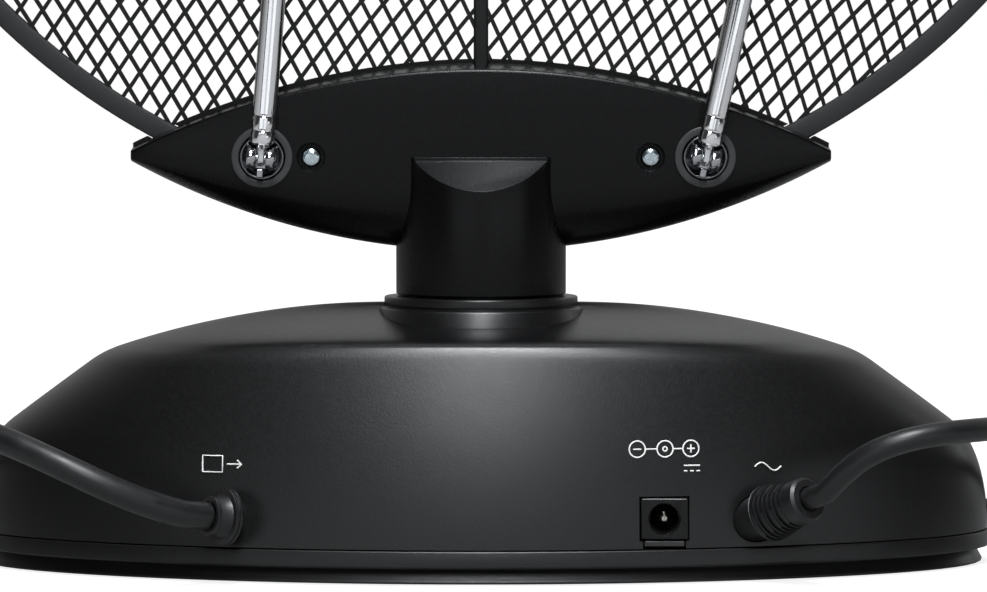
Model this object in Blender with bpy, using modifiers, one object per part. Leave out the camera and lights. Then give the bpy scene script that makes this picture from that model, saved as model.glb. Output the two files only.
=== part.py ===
"""Amplified indoor television aerial: two telescopic rods and a round mesh reflector on a swivelling head.

Metres, +Z up. The origin is on the table under the middle of the base, and the sockets face -Y.
"""

import math

import bmesh
import bpy
import numpy as np
from mathutils import Matrix, Vector

# Clearances
GAP = 0.0003  # between pieces that meet
RUN = 0.0002  # between pieces that slide or turn in each other
OVERCUT = 0.001  # how far a cutter runs past the face it opens

# Base housing and plate
BASE_HALF_WIDTH = 0.119  # at the seam
BASE_DEPTH_SHARE = 0.57  # the domed top is an ellipse in plan
BASE_REAR = 0.050  # from the middle to the rear face, at the seam
REAR_RADIUS = 0.240  # plan radius of the rear and front faces
REAR_DRAFT = math.radians(12.4)
SEAM_HEIGHT = 0.008
CROWN_HEIGHT = 0.0606
CROWN_HALF_WIDTH = 0.022
END_INSET = 0.0068  # how far the end wall leans in before the sloped shoulder
END_DROP = 0.0290  # from the crown down to the foot of the shoulder
SHOULDER_INSET = 0.0310  # from the widest point in to the top of the shoulder
SHOULDER_DROP = 0.0115
BASE_WALL = 0.0022
PLATE_PROUD = 0.0008
PLATE_BAND = 0.0029
PLATE_BOTTOM = 0.0012
PLATE_UNDERCUT = 0.0034
PLATE_FLOOR = 0.0022
OUTLINE_POINTS = 40

# Feet, plate screws and their bosses
FOOT_RADIUS = 0.007
FOOT_TAPER = 0.9
FOOT_PLACE = (0.062, 0.020)
FOOT_PEG_RADIUS = 0.002
SCREW_RADIUS = 0.0012
SCREW_HEAD_RADIUS = 0.0028
SCREW_HEAD_HEIGHT = 0.0014
PLATE_SCREW_LENGTH = 0.014
BOSS_RADIUS = 0.004

# Swivel between base and head
COLLAR_RADIUS = 0.0225
COLLAR_TOP = 0.062
COLLAR_DEPTH = 0.006
SPIGOT_RADIUS = 0.0147
SPIGOT_BORE = 0.0110
SPIGOT_BOTTOM = 0.0505
SPIGOT_FLANGE = 0.0170
SPIGOT_FLANGE_HEIGHT = 0.0024
RETAINER_RADIUS = 0.0190
RETAINER_HEIGHT = 0.0022
RETAINER_GROOVE = 0.0014
RETAINER_SLOT = 0.008

# Neck and crescent head
NECK_RADIUS = 0.01975
NECK_WALL = 0.0022
NECK_LIP = 0.0020
NECK_FACET_TOP = 0.0943
NECK_FACET_BOTTOM = 0.0870
NECK_BORE_TOP = 0.0840
HEAD_HALF_WIDTH = 0.0807
HEAD_HANG = 0.0071  # how far the head's lower edge hangs outside the disc's edge
HEAD_UPPER_RADIUS = 0.1835
HEAD_TOP = 0.1144
HEAD_LEDGE = 0.0026
HEAD_LEDGE_TAPER = 0.3
HEAD_TIP_HEIGHT = 0.0006
HEAD_DEPTH = 0.0109
HEAD_TIP_DEPTH = 0.0070
HEAD_ROUNDING_SHARE = 0.38  # of the local height, at the lower rear edge
HEAD_TIP_TAPER = 6
HEAD_WALL = 0.0018
HEAD_CAVITY_SHARE = 0.86
HEAD_SECTIONS = 14
HEAD_SCREW_X = 0.039
HEAD_SCREW_HEAD = 0.0023
HEAD_SCREW_SINK = 0.0022
HEAD_SCREW_TAPER = 0.8

# Reflector disc
DISC_RADIUS = 0.1605
DISC_BOTTOM = 0.0795
RIM_WIDTH = 0.0048
RIM_DEPTH = 0.0040
RIM_GROOVE = 0.0016
RIM_STEPS = 60
MESH_THICKNESS = 0.0007
MESH_LAP = 0.0060  # how far the mesh reaches down behind the head's top edge
MESH_ROW = 0.0245
MESH_LONG = 0.0400
MESH_STRAND = 0.0032
MESH_TURN = math.radians(-8.0)
MESH_MARGIN = 0.0035
MESH_CENTRE_HOLE = 0.0030

# Feeder and broadcast dipole at the middle of the disc
MAST_WIDTH = 0.0034
MAST_DEPTH = 0.0030
MAST_FOOT = 0.1010
HUB_RADIUS = 0.0130
HUB_REAR_DEPTH = 0.0056
HUB_FRONT_DEPTH = 0.0130
HUB_STUB_RADIUS = 0.0022
HUB_STUB_LENGTH = 0.0042
DIPOLE_RADIUS = 0.0025
DIPOLE_LENGTH = 0.0960
DIPOLE_INNER = 0.0035
DIPOLE_AHEAD = 0.0078

# Telescopic rods
PIVOT_X = {"left": -0.0502, "right": 0.0515}
ROD_LEAN = {"left": math.radians(4.7), "right": math.radians(11.9)}
PIVOT_Z = 0.0943
SOCKET_RING_RADIUS = 0.00705
SOCKET_RING_PROUD = 0.0006
FORK_RADIUS = 0.0050
FORK_FLANGE_RADIUS = 0.0060
FORK_FLANGE_SEAT = 0.0030  # from the head's rear face in to the flange
FORK_FLANGE_DEPTH = 0.0020
FORK_PROUD = 0.0003
EAR_INNER = 0.00105
EAR_OUTER = 0.0033
EAR_RADIUS = 0.0025
PIN_RADIUS = 0.0008
TONGUE_THICKNESS = 0.0015
TONGUE_RADIUS = 0.0020
TUBE_START = 0.0032  # from the elbow pin to the foot of the outer tube
LUG_PLUG_LENGTH = 0.0060
TUBE_RADII = (0.00275, 0.00220, 0.00170, 0.00120)
TUBE_WALL = (0.00035, 0.00030, 0.00030)
TUBE_LENGTHS = (0.190, 0.186, 0.182, 0.178)
TUBE_PULLED = 0.040  # how far each inner section stands out of the one round it
TIP_RADIUS = 0.0029
TIP_LENGTH = 0.0062
TIP_FACE_SHARE = 0.6
TIP_EDGE_HEIGHT = 0.75

# Sockets and controls in the base walls
JACK_X = 0.0408
JACK_Z = 0.0147
JACK_WIDTH = 0.0106
JACK_HEIGHT = 0.0092
JACK_DEPTH = 0.0130
JACK_BORE = 0.00315
JACK_BORE_DEPTH = 0.0095
JACK_PIN_RADIUS = 0.00105
JACK_PIN_SINK = 0.0012  # from the jack's face in to the pin's end
KNOB_Z = 0.034
KNOB_RADIUS = 0.0095
KNOB_LENGTH = 0.0056
KNOB_FACE_SHARE = 0.84
KNOB_EDGE_SHARE = 0.92
KNOB_EDGE_HEIGHT = 0.86
KNOB_BORE_SHARE = 0.6
SHAFT_RADIUS = 0.0028
SHAFT_LENGTH = 0.0125
POT_RADIUS = 0.0080
POT_DEPTH = 0.0075
LED_X = 0.0260
LED_RADIUS = 0.0015
LED_LENGTH = 0.0050
LED_DOME = 0.0012
LED_PROUD = 0.0013

# Parts inside the base
CORE_PLACE = (0.058, 0.000)
CORE_SIZE = (0.0400, 0.0160, 0.0340)
CORE_WINDOW = (0.0070, 0.0200)
CORE_LEG = 0.0140
WINDING_DEPTH = 0.0300
BOARD_SIZE = (0.0900, 0.0460, 0.0016)
BOARD_X = -0.0340
BOARD_Z = 0.0105
STAND_RADIUS = 0.003
STAND_INSET = 0.005
FEED_CABLE_RADIUS = 0.0020
FEED_CABLE_TOP = 0.0770

# Coaxial lead
COAX_RADIUS = 0.00305
GLAND_X = -0.0508
LEAD_Z = 0.0145
GLAND_AXIS = Vector((-0.80, -0.585, 0.12)).normalized()
GLAND_FLANGE_RADIUS = 0.00625
GLAND_FLANGE_START = 0.0062  # from the wall, where the tilted flange clears it
GLAND_FLANGE_LENGTH = 0.0018
GLAND_NECK_RADIUS = 0.0036
GLAND_END_RADIUS = 0.0044
GLAND_LENGTH = 0.0115
GLAND_SINK = 0.0050  # how far a gland or relief reaches in through the wall
COAX_ROUTE = (
    (-0.0700, -0.0565, 0.0182),
    (-0.0799, -0.0595, 0.0224),
    (-0.0904, -0.0595, 0.0274),
    (-0.1051, -0.0530, 0.0331),
    (-0.1180, -0.0400, 0.0355),
    (-0.1280, -0.0180, 0.0335),
    (-0.1325, 0.0060, 0.0270),
    (-0.1320, 0.0300, 0.0175),
    (-0.1250, 0.0525, 0.0090),
    (-0.1120, 0.0740, 0.0048),
)
COAX_COIL_CENTRE = Vector((-0.0560, 0.1040, 0.0))
COAX_COIL_INNER = 0.0275
COAX_TURNS_IN = 2
COAX_TURNS_OUT = 2.25
COAX_TAIL = 0.030
COAX_PLUG_RADIUS = 0.0064
COAX_PLUG_LENGTH = 0.0300
COAX_SLEEVE_RADIUS = 0.00475
COAX_SLEEVE_WALL = 0.0006
COAX_SLEEVE_LENGTH = 0.0154
COAX_SLEEVE_SEAT = 0.0055  # how far the sleeve sits inside the plug
COAX_PIN_RADIUS = 0.00115
COAX_PIN_LENGTH = 0.0195
COAX_GRIP_START = 0.0108
COAX_GRIP_STEP = 0.0018
COAX_NECK_SHARES = (0.72, 0.80)  # of the plug's radius, at the cord and at the grip

# Mains lead
MAINS_RADIUS = 0.0026
RELIEF_X = 0.0620
RELIEF_AXIS = Vector((0.60, -0.72, 0.32)).normalized()
RELIEF_RADIUS = 0.0065
RELIEF_END_RADIUS = 0.0050
RELIEF_START = 0.0036  # from the wall, where the tilted boot clears it
RELIEF_LENGTH = 0.0168
RELIEF_RIBS = 3
RELIEF_RIB_GAP = 0.0012
RELIEF_RIBBED_SHARE = 0.75
MAINS_ROUTE = (
    (0.0769, -0.0595, 0.0252),
    (0.0821, -0.0630, 0.0294),
    (0.0900, -0.0650, 0.0333),
    (0.0987, -0.0640, 0.0351),
    (0.1105, -0.0560, 0.0355),
    (0.1190, -0.0400, 0.0345),
    (0.1255, -0.0170, 0.0305),
    (0.1300, 0.0110, 0.0240),
    (0.1300, 0.0370, 0.0155),
    (0.1230, 0.0605, 0.0080),
    (0.1085, 0.0800, 0.0044),
)
MAINS_COIL_CENTRE = Vector((0.0520, 0.1000, 0.0))
MAINS_COIL_INNER = 0.0200
MAINS_TURNS_IN = 3
MAINS_TURNS_OUT = 3
MAINS_TAIL = 0.028
MAINS_PLUG_HALF_WIDTH = 0.0165
MAINS_PLUG_HALF_HEIGHT = 0.0064
MAINS_PLUG_LENGTH = 0.0360
MAINS_PLUG_NECK = 0.0058
MAINS_PLUG_WAIST = 0.0070
MAINS_PLUG_STEPS = (0.0080, 0.0280)  # ends of the flared part, from the cord
MAINS_PIN_RADIUS = 0.0020
MAINS_PIN_LENGTH = 0.0190
MAINS_PIN_SPACING = 0.0093

# Coils and ties
COIL_GAP = 0.0006  # between neighbouring turns
LOOP_POINTS = 24
ROUTE_STEPS = 24
LEAD_SPACING = 2.4  # between points of a lead, in its own diameters
TIE_WIDTH = 0.0050
TIE_THICKNESS = 0.0005

# Pieces whose cuts lie so close together that at some sizes the exact solver leaves them open
CROWDED = ("base_plate", "head_rear_shell", "head_front_shell")

# Values that follow from those above
PLATE_TOP = SEAM_HEIGHT - GAP / 2
HOUSING_BOTTOM = SEAM_HEIGHT + GAP / 2
DISC_CENTRE_Z = DISC_BOTTOM + DISC_RADIUS
HEAD_LOWER_RADIUS = DISC_RADIUS + HEAD_HANG
FLOOR_TOP = PLATE_BOTTOM + PLATE_FLOOR
SCREW_XS = (SHOULDER_INSET - BASE_HALF_WIDTH, BASE_HALF_WIDTH - SHOULDER_INSET)
NECK_BOTTOM = COLLAR_TOP + GAP
SPLIT_Y = MESH_THICKNESS / 2 + GAP
HEAD_REAR_Y = -(SPLIT_Y + HEAD_DEPTH)
HEAD_SCREW_Z = PIVOT_Z
COAX_PITCH = 2 * COAX_RADIUS + COIL_GAP
MAINS_PITCH = 2 * MAINS_RADIUS + COIL_GAP
COIL_LIFT = TIE_THICKNESS + GAP
ELBOW_Y = HEAD_REAR_Y - SOCKET_RING_PROUD - TUBE_RADII[0] - 2 * GAP

PARTS = None
CUTTERS = None
MATERIALS = {}


def start_scene():
    """Clear the scene and make the collections for the parts and for their cutters."""
    global PARTS, CUTTERS
    for obj in list(bpy.data.objects):
        bpy.data.objects.remove(obj, do_unlink=True)
    PARTS = bpy.data.collections.new("rabbit_ears_antenna")
    CUTTERS = bpy.data.collections.new("cutters")
    for collection in (PARTS, CUTTERS):
        bpy.context.scene.collection.children.link(collection)


def make_materials():
    finishes = {
        "black_abs": ((0.010, 0.010, 0.011), 0.42, 0.0),
        "black_paint": ((0.012, 0.012, 0.012), 0.45, 0.3),
        "rim_grey": ((0.024, 0.024, 0.026), 0.55, 0.0),
        "rubber": ((0.020, 0.020, 0.020), 0.80, 0.0),
        "pvc_black": ((0.014, 0.014, 0.015), 0.50, 0.0),
        "chrome": ((0.80, 0.80, 0.82), 0.10, 1.0),
        "zinc": ((0.62, 0.62, 0.60), 0.30, 1.0),
        "brass": ((0.75, 0.60, 0.32), 0.25, 1.0),
        "copper": ((0.60, 0.28, 0.14), 0.35, 1.0),
        "core_steel": ((0.30, 0.30, 0.31), 0.45, 1.0),
        "board_green": ((0.02, 0.12, 0.05), 0.45, 0.0),
        "lens_red": ((0.55, 0.02, 0.02), 0.15, 0.0),
    }
    for name, (colour, roughness, metallic) in finishes.items():
        made = bpy.data.materials.new(name)
        made.use_nodes = True
        shader = made.node_tree.nodes["Principled BSDF"]
        shader.inputs["Base Color"].default_value = (*colour, 1.0)
        shader.inputs["Roughness"].default_value = roughness
        shader.inputs["Metallic"].default_value = metallic
        MATERIALS[name] = made


def put(name, data, finish):
    """An object in the parts collection, or among the hidden cutters where it has no finish."""
    obj = bpy.data.objects.new(name, data)
    if finish is None:
        CUTTERS.objects.link(obj)
        obj.hide_render = True
        obj.display_type = "WIRE"
    else:
        PARTS.objects.link(obj)
        data.materials.append(MATERIALS[finish])
    return obj


def from_bmesh(name, shape, finish):
    bmesh.ops.recalc_face_normals(shape, faces=shape.faces)
    mesh = bpy.data.meshes.new(name)
    shape.to_mesh(mesh)
    shape.free()
    mesh.shade_smooth()
    mesh.set_sharp_from_angle(angle=math.radians(35))
    return put(name, mesh, finish)


def block(name, low, high, finish=None):
    low = Vector(low)
    high = Vector(high)
    shape = bmesh.new()
    bmesh.ops.create_cube(shape, size=1.0)
    bmesh.ops.scale(shape, vec=high - low, verts=shape.verts)
    bmesh.ops.translate(shape, vec=(low + high) / 2, verts=shape.verts)
    return from_bmesh(name, shape, finish)


def turn_to(axis):
    """The rotation that takes +Z to the axis."""
    return Vector(axis).to_track_quat("Z", "Y").to_matrix().to_4x4()


def rod(name, radius, start, end, finish=None, sides=24):
    """A round bar between two points."""
    start = Vector(start)
    along = Vector(end) - start
    shape = bmesh.new()
    place = Matrix.Translation(start + along / 2) @ turn_to(along)
    bmesh.ops.create_cone(
        shape,
        cap_ends=True,
        segments=sides,
        radius1=radius,
        radius2=radius,
        depth=along.length,
        matrix=place,
    )
    return from_bmesh(name, shape, finish)


def turned(name, profile, finish=None, steps=24, closed=False):
    """A profile of (radius, height) points turned about the object's own Z axis."""
    mesh = bpy.data.meshes.new(name)
    edges = [(i, i + 1) for i in range(len(profile) - 1)]
    if closed:
        edges.append((len(profile) - 1, 0))
    mesh.from_pydata([(radius, 0.0, height) for radius, height in profile], edges, [])
    obj = put(name, mesh, finish)
    screw = obj.modifiers.new("turn", "SCREW")
    screw.axis = "Z"
    screw.steps = steps
    screw.render_steps = steps
    screw.use_merge_vertices = True
    screw.merge_threshold = 1e-5
    screw.use_smooth_shade = True
    return obj


def ring(name, outer, inner, low, high, finish=None, steps=24):
    profile = [(outer, high), (outer, low), (inner, low), (inner, high)]
    return turned(name, profile, finish, steps, closed=True)


def loft(name, sections, finish=None):
    """A closed body through outlines that have the same number of points."""
    shape = bmesh.new()
    rows = [[shape.verts.new(point) for point in section] for section in sections]
    count = len(rows[0])
    for lower, upper in zip(rows, rows[1:]):
        for i in range(count):
            j = (i + 1) % count
            shape.faces.new((lower[i], lower[j], upper[j], upper[i]))
    shape.faces.new(rows[0])
    shape.faces.new(rows[-1])
    return from_bmesh(name, shape, finish)


def combine(target, operation, others):
    for other in others:
        step = target.modifiers.new(operation.lower(), "BOOLEAN")
        step.operation = operation
        step.solver = "MANIFOLD" if target.name in CROWDED else "EXACT"
        step.object = other


def cut(target, *cutters):
    combine(target, "DIFFERENCE", cutters)


def join(target, *others):
    combine(target, "UNION", others)


def empty_at(name, matrix, parent=None):
    made = bpy.data.objects.new(name, None)
    PARTS.objects.link(made)
    made.parent = parent
    made.matrix_local = matrix
    return made


def hang(parent, *children):
    """Parent pieces that are built in the parent's own frame."""
    for child in children:
        child.parent = parent


def tube(name, points, radius, finish, resolution=2):
    curve = bpy.data.curves.new(name, "CURVE")
    curve.dimensions = "3D"
    curve.bevel_depth = radius
    curve.bevel_resolution = resolution
    curve.use_fill_caps = True
    spline = curve.splines.new("POLY")
    spline.points.add(len(points) - 1)
    for point, place in zip(spline.points, points):
        point.co = (*place, 1.0)
    return put(name, curve, finish)


def flat_piece(name, outlines, thickness, finish):
    """A flat outline with holes, in the object's own XY plane."""
    curve = bpy.data.curves.new(name, "CURVE")
    curve.dimensions = "2D"
    curve.fill_mode = "BOTH"
    curve.extrude = thickness / 2
    for outline in outlines:
        spline = curve.splines.new("POLY")
        spline.points.add(len(outline) - 1)
        spline.use_cyclic_u = True
        for point, (x, y) in zip(spline.points, outline):
            point.co = (x, y, 0.0, 1.0)
    return put(name, curve, finish)


def arc_points(centre, radius, start, end, count):
    return [
        (centre[0] + radius * math.cos(a), centre[1] + radius * math.sin(a))
        for a in np.linspace(start, end, count)
    ]


def bend(start, control, end, count):
    """Points along a quadratic curve, leaving out the first."""
    start, control, end = (np.array(p) for p in (start, control, end))
    return [
        tuple((1 - t) ** 2 * start + 2 * t * (1 - t) * control + t * t * end)
        for t in np.linspace(0, 1, count + 1)[1:]
    ]


def base_profile():
    """(half width, height) from the seam up over the shoulder to the crown."""
    foot = (BASE_HALF_WIDTH, HOUSING_BOTTOM)
    end = (BASE_HALF_WIDTH - END_INSET, CROWN_HEIGHT - END_DROP)
    shoulder = (BASE_HALF_WIDTH - SHOULDER_INSET, CROWN_HEIGHT - SHOULDER_DROP)
    crown = (CROWN_HALF_WIDTH, CROWN_HEIGHT)
    bulge = (foot[0], (foot[1] + 2 * end[1]) / 3)
    swell = ((shoulder[0] + crown[0]) / 2, crown[1])
    return [foot, *bend(foot, bulge, end, 3), shoulder, *bend(shoulder, swell, crown, 4)]


def inset_profile(profile, wall):
    """The profile moved in by the wall, square to itself."""
    moved = []
    for i, (x, z) in enumerate(profile):
        before = profile[max(i - 1, 0)]
        after = profile[min(i + 1, len(profile) - 1)]
        along = Vector((after[0] - before[0], after[1] - before[1])).normalized()
        moved.append((x - wall * along.y, z + wall * along.x))
    return moved


def base_outline(half_width, height, inset=0.0):
    """Plan of the base at one height: an ellipse held between the curved rear and front faces."""
    depth = half_width * BASE_DEPTH_SHARE
    face = BASE_REAR - inset - max(height - SEAM_HEIGHT, 0.0) * math.tan(REAR_DRAFT)
    middle = REAR_RADIUS - face
    points = []
    for angle in np.linspace(0, 2 * math.pi, OUTLINE_POINTS, endpoint=False):
        c = math.cos(angle)
        s = math.sin(angle)
        on_ellipse = 1 / math.hypot(c / half_width, s / depth)
        on_face = math.sqrt(REAR_RADIUS**2 - (middle * c) ** 2) - abs(s) * middle
        reach = min(on_ellipse, on_face)
        points.append(Vector((reach * c, reach * s, height)))
    return points


def corners(place):
    x, y = place
    return [(x, y), (-x, y), (-x, -y), (x, -y)]


def wall_y(x, height):
    """The rear face of the base at this place, as a distance from the middle."""
    sagitta = REAR_RADIUS - math.sqrt(REAR_RADIUS**2 - x * x)
    return BASE_REAR - (height - SEAM_HEIGHT) * math.tan(REAR_DRAFT) - sagitta


def gland_seat(x):
    return Vector((x, -wall_y(x, LEAD_Z), LEAD_Z))


def gland_neck():
    """The middle of the tilted flange, and a place straight behind it inside the wall."""
    front = gland_seat(GLAND_X) + GLAND_AXIS * (GLAND_FLANGE_START + GLAND_FLANGE_LENGTH / 2)
    back = Vector((front.x, GLAND_SINK - wall_y(front.x, front.z), front.z))
    return front, back


def knob_frame():
    """A frame on the front face with its Z axis square to the sloped wall."""
    face = Vector((0.0, wall_y(0.0, KNOB_Z), KNOB_Z))
    axis = Vector((0.0, math.cos(REAR_DRAFT), math.sin(REAR_DRAFT)))
    return Matrix.Translation(face) @ turn_to(axis)


def make_housing():
    profile = base_profile()
    housing = loft("base_housing", [base_outline(a, z) for a, z in profile], "black_abs")
    inner = inset_profile(profile, BASE_WALL)
    inner[0] = (inner[0][0], HOUSING_BOTTOM - OVERCUT)
    hollow = loft("base_hollow", [base_outline(a, z, BASE_WALL) for a, z in inner])
    cut(housing, hollow)
    collar_foot = (0, 0, COLLAR_TOP - COLLAR_DEPTH)
    join(housing, rod("collar_boss", COLLAR_RADIUS, collar_foot, (0, 0, COLLAR_TOP), sides=32))
    boss_top = CROWN_HEIGHT - SHOULDER_DROP - BASE_WALL / 2
    pilot_top = HOUSING_BOTTOM + PLATE_SCREW_LENGTH
    for i, x in enumerate(SCREW_XS):
        boss = rod(f"boss_{i}", BOSS_RADIUS, (x, 0, HOUSING_BOTTOM), (x, 0, boss_top), sides=12)
        join(housing, boss)
        pilot = rod(f"pilot_{i}", SCREW_RADIUS + RUN, (x, 0, 0), (x, 0, pilot_top), sides=12)
        cut(housing, pilot)
    bore_top = (0, 0, COLLAR_TOP + OVERCUT)
    bore = rod("collar_bore", SPIGOT_RADIUS + GAP, (0, 0, SPIGOT_BOTTOM), bore_top, sides=28)
    half = Vector((JACK_WIDTH / 2 + GAP, JACK_DEPTH, JACK_HEIGHT / 2 + GAP))
    jack_middle = Vector((JACK_X, -wall_y(JACK_X, JACK_Z), JACK_Z))
    window = block("jack_window", jack_middle - half, jack_middle + half)
    gland_hole = rod("gland_hole", GLAND_NECK_RADIUS + GAP, *gland_neck(), sides=12)
    relief_hole = rod("relief_hole", RELIEF_END_RADIUS + GAP, *through(gland_seat(RELIEF_X), RELIEF_AXIS))
    frame = knob_frame()
    knob_axis = frame.to_3x3() @ Vector((0, 0, 1))
    shaft_hole = rod("shaft_hole", SHAFT_RADIUS + GAP, *through(frame.translation, knob_axis))
    led_seat = Vector((LED_X, wall_y(LED_X, KNOB_Z), KNOB_Z))
    led_hole = rod("led_hole", LED_RADIUS + GAP, *through(led_seat, Vector((0, 1, 0))), sides=12)
    cut(housing, bore, window, gland_hole, relief_hole, shaft_hole, led_hole)


def through(seat, axis):
    """Ends of a hole from outside the wall to inside it."""
    reach = 2 * GLAND_SINK
    return seat + axis * reach, seat - axis * reach


def make_plate():
    wide = BASE_HALF_WIDTH + PLATE_PROUD
    narrow = wide - PLATE_UNDERCUT
    levels = [
        base_outline(narrow, PLATE_BOTTOM, PLATE_UNDERCUT - PLATE_PROUD),
        base_outline(wide, PLATE_TOP - PLATE_BAND, -PLATE_PROUD),
        base_outline(wide, PLATE_TOP, -PLATE_PROUD),
    ]
    plate = loft("base_plate", levels, "black_abs")
    rim = PLATE_UNDERCUT + BASE_WALL
    heights = (FLOOR_TOP, PLATE_TOP + OVERCUT)
    cut(plate, loft("plate_pocket", [base_outline(wide - rim, z, rim - PLATE_PROUD) for z in heights]))
    sink = PLATE_BOTTOM + SCREW_HEAD_HEIGHT + GAP
    for i, x in enumerate(SCREW_XS):
        join(plate, rod(f"pad_{i}", BOSS_RADIUS, (x, 0, FLOOR_TOP - OVERCUT), (x, 0, PLATE_TOP), sides=12))
        hole = rod(f"screw_hole_{i}", SCREW_RADIUS + GAP, (x, 0, 0), (x, 0, SEAM_HEIGHT + OVERCUT), sides=12)
        well = rod(f"screw_well_{i}", SCREW_HEAD_RADIUS + GAP, (x, 0, 0), (x, 0, sink), sides=16)
        cut(plate, hole, well)
    for i, (x, y) in enumerate(corners(FOOT_PLACE)):
        hole = rod(f"peg_hole_{i}", FOOT_PEG_RADIUS + GAP, (x, y, 0), (x, y, SEAM_HEIGHT), sides=12)
        cut(plate, hole)


def make_feet_and_screws():
    foot_top = PLATE_BOTTOM - GAP
    edge = FOOT_RADIUS * FOOT_TAPER
    peg_top = PLATE_BOTTOM + PLATE_FLOOR
    foot_profile = [
        (0, peg_top),
        (FOOT_PEG_RADIUS, peg_top),
        (FOOT_PEG_RADIUS, foot_top),
        (FOOT_RADIUS, foot_top),
        (edge, 0),
        (0, 0),
    ]
    for i, (x, y) in enumerate(corners(FOOT_PLACE)):
        foot = turned(f"foot_{i + 1}", foot_profile, "rubber", 16)
        foot.location = (x, y, 0)
    head_top = SCREW_HEAD_HEIGHT
    screw_profile = [
        (0, PLATE_SCREW_LENGTH),
        (SCREW_RADIUS, PLATE_SCREW_LENGTH),
        (SCREW_RADIUS, head_top),
        (SCREW_HEAD_RADIUS, head_top),
        (SCREW_HEAD_RADIUS, 0),
        (0, 0),
    ]
    for i, x in enumerate(SCREW_XS):
        screw = turned(f"plate_screw_{i + 1}", screw_profile, "zinc", 12)
        screw.location = (x, 0, PLATE_BOTTOM)


def make_jack():
    face = -wall_y(JACK_X, JACK_Z) - GAP
    half_width = JACK_WIDTH / 2
    half_height = JACK_HEIGHT / 2
    jack = block(
        "dc_jack",
        (JACK_X - half_width, face, JACK_Z - half_height),
        (JACK_X + half_width, face + JACK_DEPTH, JACK_Z + half_height),
        "black_abs",
    )
    centre = Vector((JACK_X, face, JACK_Z))
    inward = Vector((0, 1, 0))
    mouth = rod("jack_bore", JACK_BORE, centre - inward * OVERCUT, centre + inward * JACK_BORE_DEPTH)
    pin_end = centre + inward * (JACK_DEPTH + 2 * OVERCUT)
    pin_hole = rod("jack_pin_hole", JACK_PIN_RADIUS + GAP, centre, pin_end, sides=12)
    cut(jack, mouth, pin_hole)
    rod("dc_jack_pin", JACK_PIN_RADIUS, centre + inward * JACK_PIN_SINK, pin_end, "brass", sides=12)


def make_gain_control(knob_axis):
    bore = RUN + SHAFT_RADIUS
    pot_top = -(BASE_WALL + GAP)
    pot = ring("gain_control", POT_RADIUS, bore, pot_top - POT_DEPTH, pot_top, "core_steel", 20)
    pot.matrix_world = knob_frame()
    knob_foot = 2 * GAP
    sink = knob_foot + KNOB_LENGTH * KNOB_BORE_SHARE
    knob_profile = [
        (0, knob_foot + KNOB_LENGTH),
        (KNOB_RADIUS * KNOB_FACE_SHARE, knob_foot + KNOB_LENGTH),
        (KNOB_RADIUS * KNOB_EDGE_SHARE, knob_foot + KNOB_LENGTH * KNOB_EDGE_HEIGHT),
        (KNOB_RADIUS, knob_foot),
        (bore, knob_foot),
        (bore, sink),
        (0, sink),
    ]
    knob = turned("gain_knob", knob_profile, "black_abs", 20)
    shaft_top = sink - GAP
    shaft_foot = (0, 0, shaft_top - SHAFT_LENGTH)
    shaft = rod("gain_shaft", SHAFT_RADIUS, shaft_foot, (0, 0, shaft_top), "zinc", 16)
    hang(knob_axis, knob, shaft)
    led_profile = [
        (0, LED_LENGTH),
        (LED_RADIUS * 2 / 3, LED_LENGTH - LED_DOME / 3),
        (LED_RADIUS, LED_LENGTH - LED_DOME),
        (LED_RADIUS, 0),
        (0, 0),
    ]
    led = turned("power_led", led_profile, "lens_red", 12)
    led_foot = wall_y(LED_X, KNOB_Z) + LED_PROUD - LED_LENGTH
    led.matrix_world = Matrix.Translation((LED_X, led_foot, KNOB_Z)) @ turn_to((0, 1, 0))


def make_inside():
    x, y = CORE_PLACE
    half = Vector(CORE_SIZE) / 2
    middle = Vector((x, y, FLOOR_TOP + GAP + half.z))
    core = block("transformer_core", middle - half, middle + half, "core_steel")
    window, tall = CORE_WINDOW
    leg = CORE_LEG / 2
    for side in (-1, 1):
        across = middle + Vector((side * (leg + window / 2), 0, 0))
        room = Vector((window / 2, half.y + OVERCUT, tall / 2))
        cut(core, block(f"core_window_{side}", across - room, across + room))
    wound = Vector((leg + window - GAP, WINDING_DEPTH / 2, tall / 2 - GAP))
    winding = block("transformer_winding", middle - wound, middle + wound, "copper")
    hole = Vector((leg + GAP, half.y + GAP, tall))
    cut(winding, block("winding_hole", middle - hole, middle + hole))
    size = Vector(BOARD_SIZE)
    board_middle = Vector((BOARD_X, 0, BOARD_Z))
    board = block("amplifier_board", board_middle - size / 2, board_middle + size / 2, "board_green")
    post = FEED_CABLE_RADIUS + GAP
    cut(board, rod("board_hole", post, (0, 0, 0), (0, 0, 2 * BOARD_Z), sides=12))
    for i, (dx, dy) in enumerate(corners((size.x / 2 - STAND_INSET, size.y / 2 - STAND_INSET))):
        stand_foot = (BOARD_X + dx, dy, FLOOR_TOP + GAP)
        stand_top = (BOARD_X + dx, dy, BOARD_Z)
        join(board, rod(f"stand_{i}", STAND_RADIUS, stand_foot, stand_top, sides=10))
    tube(
        "feed_cable",
        [(0, 0, z) for z in np.linspace(BOARD_Z - size.z, FEED_CABLE_TOP, 8)],
        FEED_CABLE_RADIUS,
        "pvc_black",
    )


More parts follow.
